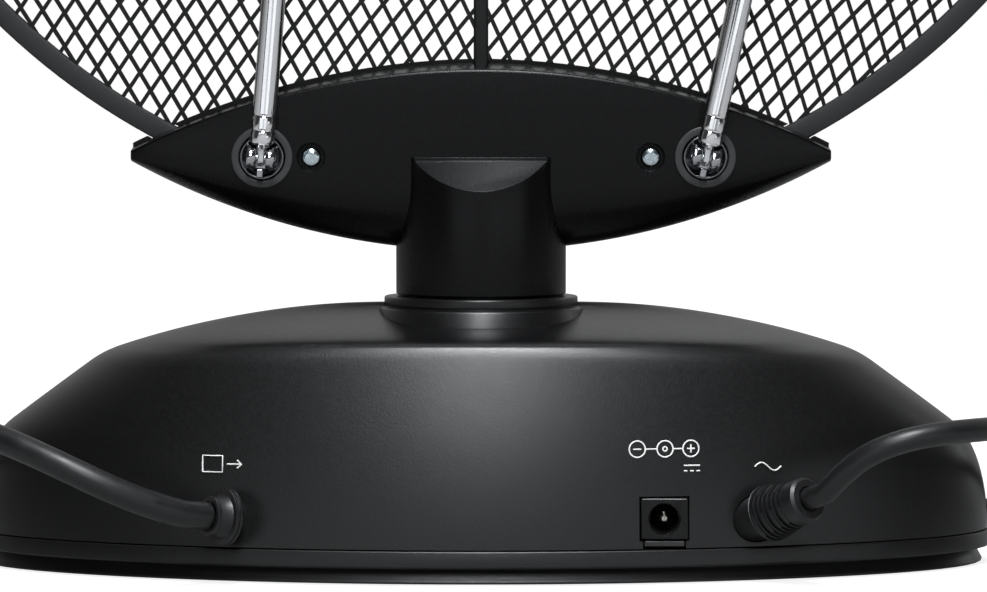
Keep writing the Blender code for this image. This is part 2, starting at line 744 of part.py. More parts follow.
def make_swivel(head):
    groove_low = COLLAR_TOP - COLLAR_DEPTH - RETAINER_HEIGHT - 2 * GAP
    groove_high = COLLAR_TOP - COLLAR_DEPTH + GAP
    groove = SPIGOT_RADIUS - RETAINER_GROOVE
    flange_low = NECK_BOTTOM + NECK_LIP + GAP
    flange_high = flange_low + SPIGOT_FLANGE_HEIGHT
    profile = [
        (SPIGOT_FLANGE, flange_high),
        (SPIGOT_FLANGE, flange_low),
        (SPIGOT_RADIUS, flange_low),
        (SPIGOT_RADIUS, groove_high),
        (groove, groove_high),
        (groove, groove_low),
        (SPIGOT_RADIUS, groove_low),
        (SPIGOT_RADIUS, SPIGOT_BOTTOM),
        (SPIGOT_BORE, SPIGOT_BOTTOM),
        (SPIGOT_BORE, flange_high),
    ]
    spigot = turned("swivel_spigot", profile, "black_abs", 28, closed=True)
    low = groove_low + GAP / 2
    high = low + RETAINER_HEIGHT
    retainer = ring("swivel_retainer", RETAINER_RADIUS, groove + GAP, low, high, "zinc", 32)
    half_slot = RETAINER_SLOT / 2
    slot_top = high + OVERCUT
    slot = block("retainer_slot", (-half_slot, 0, low - OVERCUT), (half_slot, 2 * RETAINER_RADIUS, slot_top))
    cut(retainer, slot)
    hang(head, spigot, retainer, slot)


def arc_height(x, radius, centre, above):
    return centre + (1 if above else -1) * math.sqrt(radius**2 - x * x)


def head_section(x, inset):
    """(y, z) outline of the rear half of the crescent at x, from the split plane round to the slot."""
    share = abs(x) / HEAD_HALF_WIDTH
    depth = HEAD_DEPTH + (HEAD_TIP_DEPTH - HEAD_DEPTH) * share**HEAD_TIP_TAPER - inset
    low = arc_height(x, HEAD_LOWER_RADIUS, DISC_CENTRE_Z, False) + inset
    high = arc_height(x, HEAD_UPPER_RADIUS, HEAD_TOP - HEAD_UPPER_RADIUS, True) - inset
    tall = max(high - low, HEAD_TIP_HEIGHT)
    rounding = HEAD_ROUNDING_SHARE * tall
    split = OVERCUT if inset else -SPLIT_Y
    section = []
    for angle in np.linspace(0, math.pi / 2, 5):
        y = -SPLIT_Y - depth * math.sin(angle)
        section.append((y, low + rounding * (1 - math.cos(angle))))
    section[0] = (split, low)
    section.append((-SPLIT_Y - depth, low + tall))
    section.append((split, low + tall + HEAD_LEDGE * (1 - HEAD_LEDGE_TAPER * share)))
    return section


def crescent(name, facing, share=1.0, inset=0.0, finish=None):
    """The rear (facing 1) or front (facing -1) half of the crescent."""
    half = HEAD_HALF_WIDTH * share
    sections = []
    for angle in np.linspace(-math.pi / 2, math.pi / 2, HEAD_SECTIONS):
        x = half * math.sin(angle)
        sections.append([Vector((x, facing * y, z)) for y, z in head_section(x, inset)])
    return loft(name, sections, finish)


def neck_half(name, facing):
    """Half of the neck, cut off at its top by a slanted facet."""
    start = math.asin(GAP / 2 / NECK_RADIUS)
    outline = arc_points((0, 0), NECK_RADIUS, -start, start - math.pi, 17)
    levels = (NECK_BOTTOM, NECK_FACET_TOP)
    neck = loft(name, [[Vector((x, facing * y, z)) for x, y in outline] for z in levels])
    slope = (NECK_FACET_TOP - NECK_FACET_BOTTOM) / (NECK_RADIUS + HEAD_REAR_Y)
    past = -NECK_RADIUS - OVERCUT
    lid = NECK_FACET_TOP + OVERCUT
    wedge = [
        (HEAD_REAR_Y, NECK_FACET_TOP),
        (past, NECK_FACET_TOP + slope * (past - HEAD_REAR_Y)),
        (past, lid),
        (HEAD_REAR_Y, lid),
    ]
    sides = (-2 * NECK_RADIUS, 2 * NECK_RADIUS)
    cut(neck, loft(f"{name}_facet", [[Vector((x, facing * y, z)) for y, z in wedge] for x in sides]))
    return neck


def make_head_shell(name, facing):
    shell = crescent(name, facing, finish="black_abs")
    join(shell, neck_half(f"{name}_neck", facing))
    cut(shell, crescent(f"{name}_hollow", facing, HEAD_CAVITY_SHARE, HEAD_WALL))
    lip_top = NECK_BOTTOM + NECK_LIP
    lip_foot = (0, 0, COLLAR_TOP - OVERCUT)
    lip = rod(f"{name}_lip", SPIGOT_RADIUS + GAP, lip_foot, (0, 0, lip_top + OVERCUT), sides=24)
    neck_bore = NECK_RADIUS - NECK_WALL
    bore = rod(f"{name}_bore", neck_bore, (0, 0, lip_top), (0, 0, NECK_BORE_TOP), sides=24)
    inner = DISC_RADIUS - RIM_WIDTH - GAP
    deep = RIM_DEPTH / 2 + GAP
    rim_room = ring(f"{name}_rim_room", DISC_RADIUS + GAP, inner, -deep, deep, steps=RIM_STEPS)
    rim_room.matrix_world = disc_frame()
    cut(shell, lip, bore, rim_room)
    reach = facing * HEAD_REAR_Y
    for side in (-1, 1):
        x = side * HEAD_SCREW_X
        wall_inside = reach - math.copysign(HEAD_WALL / 2, reach)
        meet = math.copysign(SPLIT_Y + GAP, reach)
        pillar = rod(
            f"{name}_pillar_{side}",
            HEAD_SCREW_HEAD + HEAD_WALL,
            (x, wall_inside, HEAD_SCREW_Z),
            (x, meet, HEAD_SCREW_Z),
            sides=12,
        )
        join(shell, pillar)
    return shell


def disc_frame():
    """The disc's own frame: its Z axis points forward along +Y."""
    return Matrix.Translation((0, 0, DISC_CENTRE_Z)) @ Matrix.Rotation(-math.pi / 2, 4, "X")


def make_head(head):
    rear = make_head_shell("head_rear_shell", 1)
    front = make_head_shell("head_front_shell", -1)
    ring_face = HEAD_REAR_Y - SOCKET_RING_PROUD
    for side, x in PIVOT_X.items():
        seat = (x, HEAD_REAR_Y + 3 * HEAD_WALL / 4, PIVOT_Z)
        join(rear, rod(f"{side}_ring", SOCKET_RING_RADIUS, seat, (x, ring_face, PIVOT_Z), sides=24))
        mouth = (x, ring_face - OVERCUT, PIVOT_Z)
        cut(rear, rod(f"{side}_socket", FORK_RADIUS + GAP, mouth, (x, -SPLIT_Y, PIVOT_Z)))
    screw_seat = HEAD_REAR_Y + HEAD_SCREW_SINK
    screw_tip = -HEAD_REAR_Y - HEAD_WALL - OVERCUT
    for side, word in ((-1, "left"), (1, "right")):
        x = side * HEAD_SCREW_X
        z = HEAD_SCREW_Z
        mouth = (x, HEAD_REAR_Y - OVERCUT, z)
        well = rod(f"{word}_well", HEAD_SCREW_HEAD + 2 * GAP, mouth, (x, screw_seat, z), sides=16)
        hole = rod(f"{word}_hole", SCREW_RADIUS + GAP, (x, HEAD_REAR_Y, z), (x, 0, z), sides=12)
        cut(rear, well, hole)
        cut(front, rod(f"{word}_pilot", SCREW_RADIUS + RUN, (x, 0, z), (x, screw_tip + GAP, z), sides=12))
        head_foot = screw_seat - GAP
        profile = [
            (0, screw_tip),
            (SCREW_RADIUS, screw_tip),
            (SCREW_RADIUS, head_foot),
            (HEAD_SCREW_HEAD, head_foot),
            (HEAD_SCREW_HEAD * HEAD_SCREW_TAPER, head_foot - SCREW_HEAD_HEIGHT),
            (0, head_foot - SCREW_HEAD_HEIGHT),
        ]
        screw = turned(f"head_screw_{word}", profile, "zinc", 16)
        screw.matrix_world = Matrix.Translation((x, 0, z)) @ Matrix.Rotation(-math.pi / 2, 4, "X")
        hang_in_place(head, screw)
    notch = MAST_WIDTH / 2 + GAP
    notch_top = HEAD_TOP + HEAD_LEDGE + OVERCUT
    cut(rear, block("mast_notch", (-notch, mast_back() - GAP, MAST_FOOT - GAP), (notch, 0, notch_top)))
    hang_in_place(head, rear, front)


def hang_in_place(parent, *children):
    """Parent pieces that are built in world coordinates."""
    for child in children:
        child.parent = parent
        child.matrix_parent_inverse = parent.matrix_world.inverted()


def mast_back():
    return -(SPLIT_Y + MAST_DEPTH)


def mesh_holes(outer, lower):
    """Diamond gaps of the net that lie whole inside its outline."""
    turn = Matrix.Rotation(MESH_TURN, 2)
    half_row = MESH_ROW / 2
    half_long = MESH_LONG / 2
    shrink = 1 - MESH_STRAND / (2 * half_row * half_long / math.hypot(half_row, half_long))
    across = half_row * shrink
    along = half_long * shrink
    corner = [(across, 0), (0, along), (-across, 0), (0, -along)]
    count = int(DISC_RADIUS / half_row) + 2
    holes = []
    for i in range(-count, count + 1):
        for j in range(-count, count + 1):
            if (i + j) % 2 == 0:
                continue
            middle = Vector((i * half_row, j * half_long))
            points = [turn @ (middle + Vector(c)) for c in corner]
            inside = all(p.length < outer - MESH_MARGIN for p in points)
            clear = all(p.length > MESH_CENTRE_HOLE + MESH_MARGIN for p in points)
            above = all((p - lower[0]).length > lower[1] + MESH_MARGIN for p in points)
            if inside and clear and above:
                holes.append([tuple(p) for p in points])
    return holes


def make_disc(head):
    half = RIM_DEPTH / 2
    inner = DISC_RADIUS - RIM_WIDTH
    groove = inner + RIM_GROOVE
    slot = MESH_THICKNESS / 2 + GAP
    edge = RIM_DEPTH / 8
    profile = [
        (DISC_RADIUS - edge, half),
        (DISC_RADIUS, half - edge),
        (DISC_RADIUS, edge - half),
        (DISC_RADIUS - edge, -half),
        (inner, -half),
        (inner, -slot),
        (groove, -slot),
        (groove, slot),
        (inner, slot),
        (inner, half),
    ]
    rim = turned("reflector_rim", profile, "rim_grey", RIM_STEPS, closed=True)
    rim.matrix_world = disc_frame()
    outer = groove - GAP
    # In the disc's own plane: x across and y down from its centre
    lower_centre = Vector((0, DISC_CENTRE_Z - HEAD_TOP + HEAD_UPPER_RADIUS))
    lower_radius = HEAD_UPPER_RADIUS - MESH_LAP
    drop = lower_centre.y
    meet_y = (outer**2 - lower_radius**2 + drop**2) / (2 * drop)
    meet_x = math.sqrt(outer**2 - meet_y**2)
    start = math.atan2(meet_y, meet_x)
    outline = arc_points((0, 0), outer, start, start - math.pi - 2 * start, 56)
    reach = math.atan2(meet_x, drop - meet_y)
    lower = arc_points(lower_centre, lower_radius, -math.pi / 2 - reach, -math.pi / 2 + reach, 22)[1:-1]
    centre = arc_points((0, 0), MESH_CENTRE_HOLE, 0, 2 * math.pi, 13)[:-1]
    holes = mesh_holes(outer, (lower_centre, lower_radius))
    net = flat_piece("reflector_mesh", [outline + lower, centre, *holes], MESH_THICKNESS, "black_paint")
    net.matrix_world = disc_frame()
    hang_in_place(head, rim, net)


def make_feed(head):
    face = SPLIT_Y
    half = MAST_WIDTH / 2
    low = (-half, mast_back(), MAST_FOOT)
    mast = block("feeder_mast", low, (half, -face, DISC_CENTRE_Z), "black_paint")
    rear_face = -(face + HUB_REAR_DEPTH)
    centre = Vector((0, 0, DISC_CENTRE_Z))
    back = Vector((0, face, 0))
    seat = Vector((0, GAP, 0))
    hub_rear = rod("hub_rear", HUB_RADIUS, centre + Vector((0, rear_face, 0)), centre - back, sides=24)
    stub_end = centre + Vector((0, HUB_STUB_LENGTH, 0))
    stub = rod("hub_stub", HUB_STUB_RADIUS, centre - 2 * back, stub_end, sides=16)
    join(mast, hub_rear, stub)
    hub_end = centre + Vector((0, face + HUB_FRONT_DEPTH, 0))
    hub_front = rod("feed_hub", HUB_RADIUS, centre + back, hub_end, "black_abs", 24)
    stub_room = rod("stub_room", HUB_STUB_RADIUS + GAP, centre, stub_end + seat, sides=16)
    ahead = centre + Vector((0, DIPOLE_AHEAD, 0))
    across = Vector((2 * HUB_RADIUS, 0, 0))
    dipole_room = rod("dipole_room", DIPOLE_RADIUS + GAP, ahead - across, ahead + across, sides=16)
    cut(hub_front, stub_room, dipole_room)
    hang_in_place(head, mast, hub_front)
    for word, side in (("left", -1), ("right", 1)):
        inner = ahead + Vector((side * DIPOLE_INNER, 0, 0))
        outer = inner + Vector((side * DIPOLE_LENGTH, 0, 0))
        hang_in_place(head, rod(f"uhf_dipole_{word}", DIPOLE_RADIUS, inner, outer, "black_paint", 14))


def make_fork(side, swivel):
    """The turning fork in its socket, in the frame of the swivel axis."""
    wall_inside = HEAD_REAR_Y + FORK_FLANGE_SEAT
    shaft_face = HEAD_REAR_Y - SOCKET_RING_PROUD - FORK_PROUD
    flange_end = wall_inside + FORK_FLANGE_DEPTH
    shaft_start = (0, wall_inside + FORK_FLANGE_DEPTH / 2, 0)
    fork = rod(f"{side}_fork", FORK_RADIUS, shaft_start, (0, shaft_face, 0), "chrome", 20)
    parts = [rod(f"{side}_flange", FORK_FLANGE_RADIUS, (0, flange_end, 0), (0, wall_inside, 0), sides=16)]
    for hand in (-1, 1):
        xs = sorted((hand * EAR_INNER, hand * EAR_OUTER))
        parts.append(
            block(
                f"{side}_ear_{hand}",
                (xs[0], ELBOW_Y, -EAR_RADIUS),
                (xs[1], shaft_face + FORK_PROUD, EAR_RADIUS),
            )
        )
        ends = [(x, ELBOW_Y, 0) for x in xs]
        parts.append(rod(f"{side}_ear_end_{hand}", EAR_RADIUS, *ends, sides=16))
    hole_ends = [(x, ELBOW_Y, 0) for x in (-EAR_OUTER - OVERCUT, EAR_OUTER + OVERCUT)]
    pin_hole = rod(f"{side}_pin_hole", PIN_RADIUS + RUN, *hole_ends, sides=12)
    join(fork, *parts)
    cut(fork, pin_hole)
    half_pin = EAR_OUTER - GAP
    pin_ends = [(x, ELBOW_Y, 0) for x in (-half_pin, half_pin)]
    pin = rod(f"{side}_pivot_pin", PIN_RADIUS, *pin_ends, "zinc", 12)
    hang(swivel, fork, pin, pin_hole, *parts)


def make_rod(side, elbow):
    """The lug and the telescopic sections, along the elbow frame's Z axis."""
    half = TONGUE_THICKNESS / 2
    plug_radius = TUBE_RADII[1]
    plug_top = TUBE_START + LUG_PLUG_LENGTH
    low = (-half, -TONGUE_RADIUS, 0)
    lug = block(f"{side}_rod_lug", low, (half, TONGUE_RADIUS, TUBE_START), "chrome")
    lug_end = rod(f"{side}_lug_end", TONGUE_RADIUS, (-half, 0, 0), (half, 0, 0), sides=20)
    plug = rod(f"{side}_lug_plug", plug_radius, (0, 0, TUBE_START - GAP), (0, 0, plug_top), sides=16)
    lug_hole = rod(f"{side}_lug_hole", PIN_RADIUS + RUN, (-EAR_OUTER, 0, 0), (EAR_OUTER, 0, 0), sides=12)
    join(lug, lug_end, plug)
    cut(lug, lug_hole)
    hang(elbow, lug, lug_end, plug, lug_hole)
    top = TUBE_START
    for i, (radius, length) in enumerate(zip(TUBE_RADII, TUBE_LENGTHS)):
        top = TUBE_START + length if i == 0 else top + TUBE_PULLED
        name = f"{side}_rod_section_{i + 1}"
        if i < len(TUBE_WALL):
            section = ring(name, radius, radius - TUBE_WALL[i], -length, 0, "chrome", 12)
        else:
            section = rod(name, radius, (0, 0, -length), (0, 0, 0), "chrome", 12)
        section.location = (0, 0, top)
        hang(elbow, section)
    tip_profile = [
        (0, TIP_LENGTH),
        (TIP_RADIUS * TIP_FACE_SHARE, TIP_LENGTH),
        (TIP_RADIUS, TIP_LENGTH * TIP_EDGE_HEIGHT),
        (TIP_RADIUS, 0),
        (0, 0),
    ]
    tip = turned(f"{side}_rod_tip", tip_profile, "chrome", 16)
    tip.location = (0, 0, top + GAP)
    hang(elbow, tip)


def make_rods(head):
    for side, x in PIVOT_X.items():
        lean = Matrix.Rotation(ROD_LEAN[side], 4, "Y")
        swivel = empty_at(f"{side}_swivel_axis", Matrix.Translation((x, 0, PIVOT_Z)) @ lean)
        elbow = empty_at(f"{side}_elbow_axis", Matrix.Translation((0, ELBOW_Y, 0)), swivel)
        make_fork(side, swivel)
        make_rod(side, elbow)
        hang_in_place(head, swivel)


def make_glands():
    seat = gland_seat(GLAND_X)
    profile = [
        (GLAND_END_RADIUS, GLAND_LENGTH),
        (GLAND_END_RADIUS, GLAND_FLANGE_START + GLAND_FLANGE_LENGTH),
        (GLAND_FLANGE_RADIUS, GLAND_FLANGE_START + GLAND_FLANGE_LENGTH),
        (GLAND_FLANGE_RADIUS, GLAND_FLANGE_START),
        (0, GLAND_FLANGE_START),
    ]
    gland = turned("coax_gland", [(0, GLAND_LENGTH), *profile], "pvc_black", 16)
    gland.matrix_world = Matrix.Translation(seat) @ turn_to(GLAND_AXIS)
    join(gland, rod("gland_neck", GLAND_NECK_RADIUS, *gland_neck(), sides=12))
    seat = gland_seat(RELIEF_X)
    step = (RELIEF_LENGTH * RELIEF_RIBBED_SHARE - RELIEF_START) / (2 * RELIEF_RIBS)
    core = RELIEF_END_RADIUS - RELIEF_RIB_GAP
    profile = [(0, RELIEF_LENGTH), (RELIEF_END_RADIUS, RELIEF_LENGTH)]
    for i in reversed(range(RELIEF_RIBS)):
        low = RELIEF_START + 2 * i * step
        high = low + 2 * step
        radius = RELIEF_RADIUS + (RELIEF_END_RADIUS - RELIEF_RADIUS) * (i + 1) / (RELIEF_RIBS + 1)
        outer = RELIEF_END_RADIUS if i == RELIEF_RIBS - 1 else radius
        profile += [(outer, high), (core, high), (core, low + step), (radius, low + step)]
    profile += [
        (RELIEF_RADIUS, RELIEF_START),
        (RELIEF_END_RADIUS, RELIEF_START),
        (RELIEF_END_RADIUS, -GLAND_SINK),
        (0, -GLAND_SINK),
    ]
    relief = turned("mains_strain_relief", profile, "pvc_black", 16)
    relief.matrix_world = Matrix.Translation(seat) @ turn_to(RELIEF_AXIS)


def smooth_route(points, spacing):
    """Points at an even spacing along a smooth curve through the route's own points."""
    knots = np.array([tuple(p) for p in points])
    ends = np.vstack([2 * knots[0] - knots[1], knots, 2 * knots[-1] - knots[-2]])
    fine = []
    for a, b, c, d in zip(ends, ends[1:], ends[2:], ends[3:]):
        for t in np.linspace(0, 1, ROUTE_STEPS, endpoint=False):
            square = (2 * a - 5 * b + 4 * c - d) * t**2
            cube = (3 * b - a - 3 * c + d) * t**3
            fine.append((2 * b + (c - a) * t + square + cube) / 2)
    fine = np.array([*fine, knots[-1]])
    run = np.concatenate([[0.0], np.cumsum(np.linalg.norm(np.diff(fine, axis=0), axis=1))])
    count = max(int(round(run[-1] / spacing)), 2) + 1
    at = np.linspace(0, run[-1], count)
    spaced = np.column_stack([np.interp(at, run, fine[:, k]) for k in range(3)])
    return [Vector(p) for p in spaced]


def coil_turns(centre, start_angle, hand, inner, pitch, turns, low):
    """Loops that spiral in on the table, climb a layer over half a turn, and spiral out."""
    turns_in, turns_out = turns
    points = []
    for i in range(round((turns_in + turns_out) * LOOP_POINTS) + 1):
        turn = i / LOOP_POINTS - turns_in
        radius = inner + pitch * abs(turn)
        angle = start_angle + hand * 2 * math.pi * i / LOOP_POINTS
        t = min(max(2 * (turn + 0.25), 0.0), 1.0)
        height = low + pitch * t * t * (3 - 2 * t)
        spoke = Vector((math.cos(angle), math.sin(angle), 0))
        points.append(centre + radius * spoke + Vector((0, 0, height)))
    return points


def least_gap(points, diameter):
    """The smallest clear distance between turns, over points that are not neighbours along the tube."""
    fine = []
    for a, b in zip(points, points[1:]):
        fine += [np.array(a.lerp(b, t)) for t in np.linspace(0, 1, 4, endpoint=False)]
    fine = np.array(fine)
    run = np.concatenate([[0.0], np.cumsum(np.linalg.norm(np.diff(fine, axis=0), axis=1))])
    apart = np.linalg.norm(fine[:, None] - fine[None], axis=2)
    apart[np.abs(run[:, None] - run[None]) < 4 * diameter] = np.inf
    return apart.min() - diameter


def route_length(points):
    return sum((b - a).length for a, b in zip(points, points[1:]))


def make_cord(name, radius, exit_point, exit_axis, route, coil, tail, tail_height):
    """The lead, its coil with a straight tail, and the tie: returns where the plug goes and its direction."""
    diameter = 2 * radius
    first = (coil[1] - coil[0]).normalized()
    lead_end = coil[0] - first * diameter
    start = exit_point + exit_axis * GAP
    stop = lead_end - first * GAP
    between = [start + exit_axis * diameter, *(Vector(p) for p in route), stop - first * diameter]
    lead = [start, *smooth_route(between, LEAD_SPACING * diameter), stop]
    tube(f"{name}_lead", lead, radius, "pvc_black", 2)
    last = (coil[-1] - coil[-2]).normalized()
    drop = tail_height - coil[-1].z
    tail_points = []
    for t in np.linspace(0.25, 1, 4):
        sink = Vector((0, 0, drop * t * t * (3 - 2 * t)))
        tail_points.append(coil[-1] + last * tail * t + sink)
    end = tail_points[-1] + last * diameter
    wound = [lead_end, *coil, *tail_points, end]
    tube(f"{name}_coil", wound, radius, "pvc_black", 1)
    print(f"{name} coil: least gap {least_gap(wound, diameter) * 1000:.2f} mm")
    print(f"{name} lead and coil: {(route_length(lead) + route_length(wound)) * 1000:.0f} mm")
    return end + last * GAP, last


def make_tie(name, centre, angle, radii, top):
    """A flat band round the stacked turns, as a frame that lies across the coil."""
    inner, outer = radii
    place = Matrix.Translation(centre) @ Matrix.Rotation(angle, 4, "Z")
    half = TIE_WIDTH / 2
    band = block(
        name,
        (inner - TIE_THICKNESS, -half, 0),
        (outer + TIE_THICKNESS, half, top + TIE_THICKNESS),
        "rubber",
    )
    room = block(f"{name}_room", (inner, -2 * half, TIE_THICKNESS), (outer, 2 * half, top))
    cut(band, room)
    band.matrix_world = place
    room.matrix_world = place


def make_coax():
    low = COAX_RADIUS + COIL_LIFT
    turns = (COAX_TURNS_IN, COAX_TURNS_OUT)
    coil = coil_turns(COAX_COIL_CENTRE, math.pi, -1, COAX_COIL_INNER, COAX_PITCH, turns, low)
    exit_point = gland_seat(GLAND_X) + GLAND_AXIS * GLAND_LENGTH
    place, along = make_cord(
        "coax", COAX_RADIUS, exit_point, GLAND_AXIS, COAX_ROUTE, coil, COAX_TAIL, COAX_PLUG_RADIUS
    )
    reach = COAX_RADIUS + GAP
    inner = COAX_COIL_INNER + COAX_PITCH / 2 - reach - GAP
    outer = COAX_COIL_INNER + COAX_PITCH * (COAX_TURNS_IN - 0.5) + reach
    make_tie("coax_tie", COAX_COIL_CENTRE, 0.0, (inner, outer), low + COAX_PITCH + reach)
    frame = Matrix.Translation(place) @ turn_to(along)
    sleeve_bore = COAX_SLEEVE_RADIUS - COAX_SLEEVE_WALL
    seat = COAX_PLUG_LENGTH - COAX_SLEEVE_SEAT
    neck_share, grip_share = COAX_NECK_SHARES
    pin_room = COAX_PIN_RADIUS + GAP
    pin_floor = seat - COAX_SLEEVE_SEAT
    profile = [
        (0, pin_floor),
        (pin_room, pin_floor),
        (pin_room, seat),
        (COAX_SLEEVE_RADIUS + GAP, seat),
        (COAX_SLEEVE_RADIUS + GAP, COAX_PLUG_LENGTH),
        (COAX_PLUG_RADIUS, COAX_PLUG_LENGTH),
        (COAX_PLUG_RADIUS, COAX_GRIP_START),
        (COAX_PLUG_RADIUS * grip_share, COAX_GRIP_START - COAX_GRIP_STEP),
        (COAX_PLUG_RADIUS * neck_share, 0),
        (0, 0),
    ]
    plug = turned("coax_plug", profile, "pvc_black", 18)
    sleeve_foot = seat + GAP
    sleeve_end = sleeve_foot + COAX_SLEEVE_LENGTH
    sleeve = ring("coax_plug_sleeve", COAX_SLEEVE_RADIUS, sleeve_bore, sleeve_foot, sleeve_end, "zinc", 18)
    pin_low = pin_floor + GAP
    pin_high = pin_low + COAX_PIN_LENGTH
    pin = rod("coax_plug_pin", COAX_PIN_RADIUS, (0, 0, pin_low), (0, 0, pin_high), "brass", 12)
    for piece in (plug, sleeve, pin):
        piece.matrix_world = frame


def make_mains():
    low = MAINS_RADIUS + COIL_LIFT
    turns = (MAINS_TURNS_IN, MAINS_TURNS_OUT)
    coil = coil_turns(MAINS_COIL_CENTRE, 0.0, 1, MAINS_COIL_INNER, MAINS_PITCH, turns, low)
    exit_point = gland_seat(RELIEF_X) + RELIEF_AXIS * RELIEF_LENGTH
    place, along = make_cord(
        "mains",
        MAINS_RADIUS,
        exit_point,
        RELIEF_AXIS,
        MAINS_ROUTE,
        coil,
        MAINS_TAIL,
        MAINS_PLUG_HALF_HEIGHT,
    )
    reach = MAINS_RADIUS + GAP
    inner = MAINS_COIL_INNER + MAINS_PITCH / 2 - reach - GAP
    outer = MAINS_COIL_INNER + MAINS_PITCH * (MAINS_TURNS_IN - 0.5) + reach
    make_tie("mains_tie", MAINS_COIL_CENTRE, math.pi, (inner, outer), low + MAINS_PITCH + reach)
    flare_start, flare_end = MAINS_PLUG_STEPS
    outline = [
        (0, -MAINS_PLUG_NECK),
        (flare_start, -MAINS_PLUG_WAIST),
        (flare_end, -MAINS_PLUG_HALF_WIDTH),
        (MAINS_PLUG_LENGTH, -MAINS_PLUG_HALF_WIDTH),
    ]
    outline += [(x, -y) for x, y in reversed(outline)]
    frame = Matrix.Translation(place) @ Matrix.Rotation(math.atan2(along.y, along.x), 4, "Z")
    body = flat_piece("mains_plug", [outline], 2 * MAINS_PLUG_HALF_HEIGHT, "pvc_black")
    body.matrix_world = frame
    for word, side in (("left", 1), ("right", -1)):
        start = (MAINS_PLUG_LENGTH + GAP, side * MAINS_PIN_SPACING, 0)
        end = (MAINS_PLUG_LENGTH + GAP + MAINS_PIN_LENGTH, side * MAINS_PIN_SPACING, 0)
        pin = rod(f"mains_plug_pin_{word}", MAINS_PIN_RADIUS, start, end, "brass", 14)
        pin.matrix_world = frame


def main():
    start_scene()
    make_materials()
    head = empty_at("head_axis", Matrix.Translation((0, 0, 0)))
    knob_axis = empty_at("knob_axis", knob_frame())
    make_housing()
    make_plate()
    make_feet_and_screws()
    make_jack()
    make_gain_control(knob_axis)
    make_inside()
    make_swivel(head)
    make_head(head)
    make_disc(head)
    make_feed(head)
    make_rods(head)
    make_glands()
    make_coax()
    make_mains()


main()
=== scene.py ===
"""Looks of an amplified indoor television aerial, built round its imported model.

Metres, +Z up. The rear face with the sockets looks towards -Y, where the camera stands.
"""

import math

import bmesh
import bpy
import numpy as np
from mathutils import Matrix, Vector


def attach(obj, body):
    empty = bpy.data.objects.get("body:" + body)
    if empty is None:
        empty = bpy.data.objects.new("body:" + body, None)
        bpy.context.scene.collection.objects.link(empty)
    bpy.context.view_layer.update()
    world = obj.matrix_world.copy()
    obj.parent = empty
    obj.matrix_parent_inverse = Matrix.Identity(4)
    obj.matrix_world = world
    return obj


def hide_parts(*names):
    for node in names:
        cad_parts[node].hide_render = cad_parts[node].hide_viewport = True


# Picture
CAMERA_PLACE = (0.0029, -0.900, 0.1076)
CAMERA_DIP = math.radians(2.91)
SENSOR_WIDTH = 36.0
LENS = 141.2
CLIP = (0.01, 50)

# Light: name, place, aim, (width, height), power
LAMP_COLOUR = (0.94, 0.97, 1.0)
LAMPS = (
    ("key_strip", (0.0, -0.98, 0.65), (0, 0, 0.06), (0.09, 0.45), 4.2),
    ("crest_softbox", (0.03, -0.55, 1.05), (0, -0.04, 0.05), (0.22, 0.44), 16.0),
    ("right_panel", (0.66, -1.02, 0.15), (0, 0, 0.12), (1.05, 0.22), 0.80),
    ("centre_panel", (0.02, -1.15, 0.12), (0, 0, 0.12), (0.36, 0.14), 0.11),
    ("left_panel", (-0.46, -1.10, 0.15), (0, 0, 0.12), (0.64, 0.22), 0.45),
    ("overhead_panel", (0.0, 0.16, 1.10), (0, 0, 0.06), (1.40, 0.30), 0.7),
    ("right_rim", (1.00, 0.55, 0.40), (0, 0, 0.06), (0.10, 0.60), 0.4),
    ("back_softbox", (0.3, 1.3, 0.9), (0, 0, 0.06), (1.0, 0.8), 0.5),
)

# Room and floor, as levels of white
ROOM_BEFORE = 0.035
ROOM_BEHIND = 0.42
ROOM_TURN = (-0.4, 1.0)  # the Y of a direction where the room is still dim, and where it is palest
FLOOR_HALF = 3.0
FLOOR_COLOUR = 0.30
FLOOR_GLOW = 0.84
FLOOR_NEAR = 0.12
FLOOR_FAR = 0.40
FLOOR_IN_GLOSS = 0.05
WHITE = (1.0, 1.0, 1.0, 1.0)

# Finishes. A grain is (scale, strength, depth), and a mottle is (scale, change of roughness)
PATTERN_LOW = 0.3
PATTERN_HIGH = 0.7
LEAST_ROUGHNESS = 0.02
PLAIN_GRAIN = (900, 0.2, 0.00004)
PLAIN_MOTTLE = (260, 0.06)
SMOOTH_GRAIN = (1500, 0.08, 0.00003)
SMOOTH_MOTTLE = (900, 0.01)
CHROME_GRAIN = (1900, 0.03, 0.00002)
BLACK = (0.0024, 0.0024, 0.0026)

# Clearances and common roundings
GAP = 0.0003
OVERCUT = 0.001
PIN_ROUND = 0.0002
SMALL_ROUND = 0.0003
END_ROUND = 0.0004
EDGE_ROUND = 0.0005
HALF_ROUND_POINTS = 25
CREASE = 32  # degrees between faces from which an edge is drawn sharp

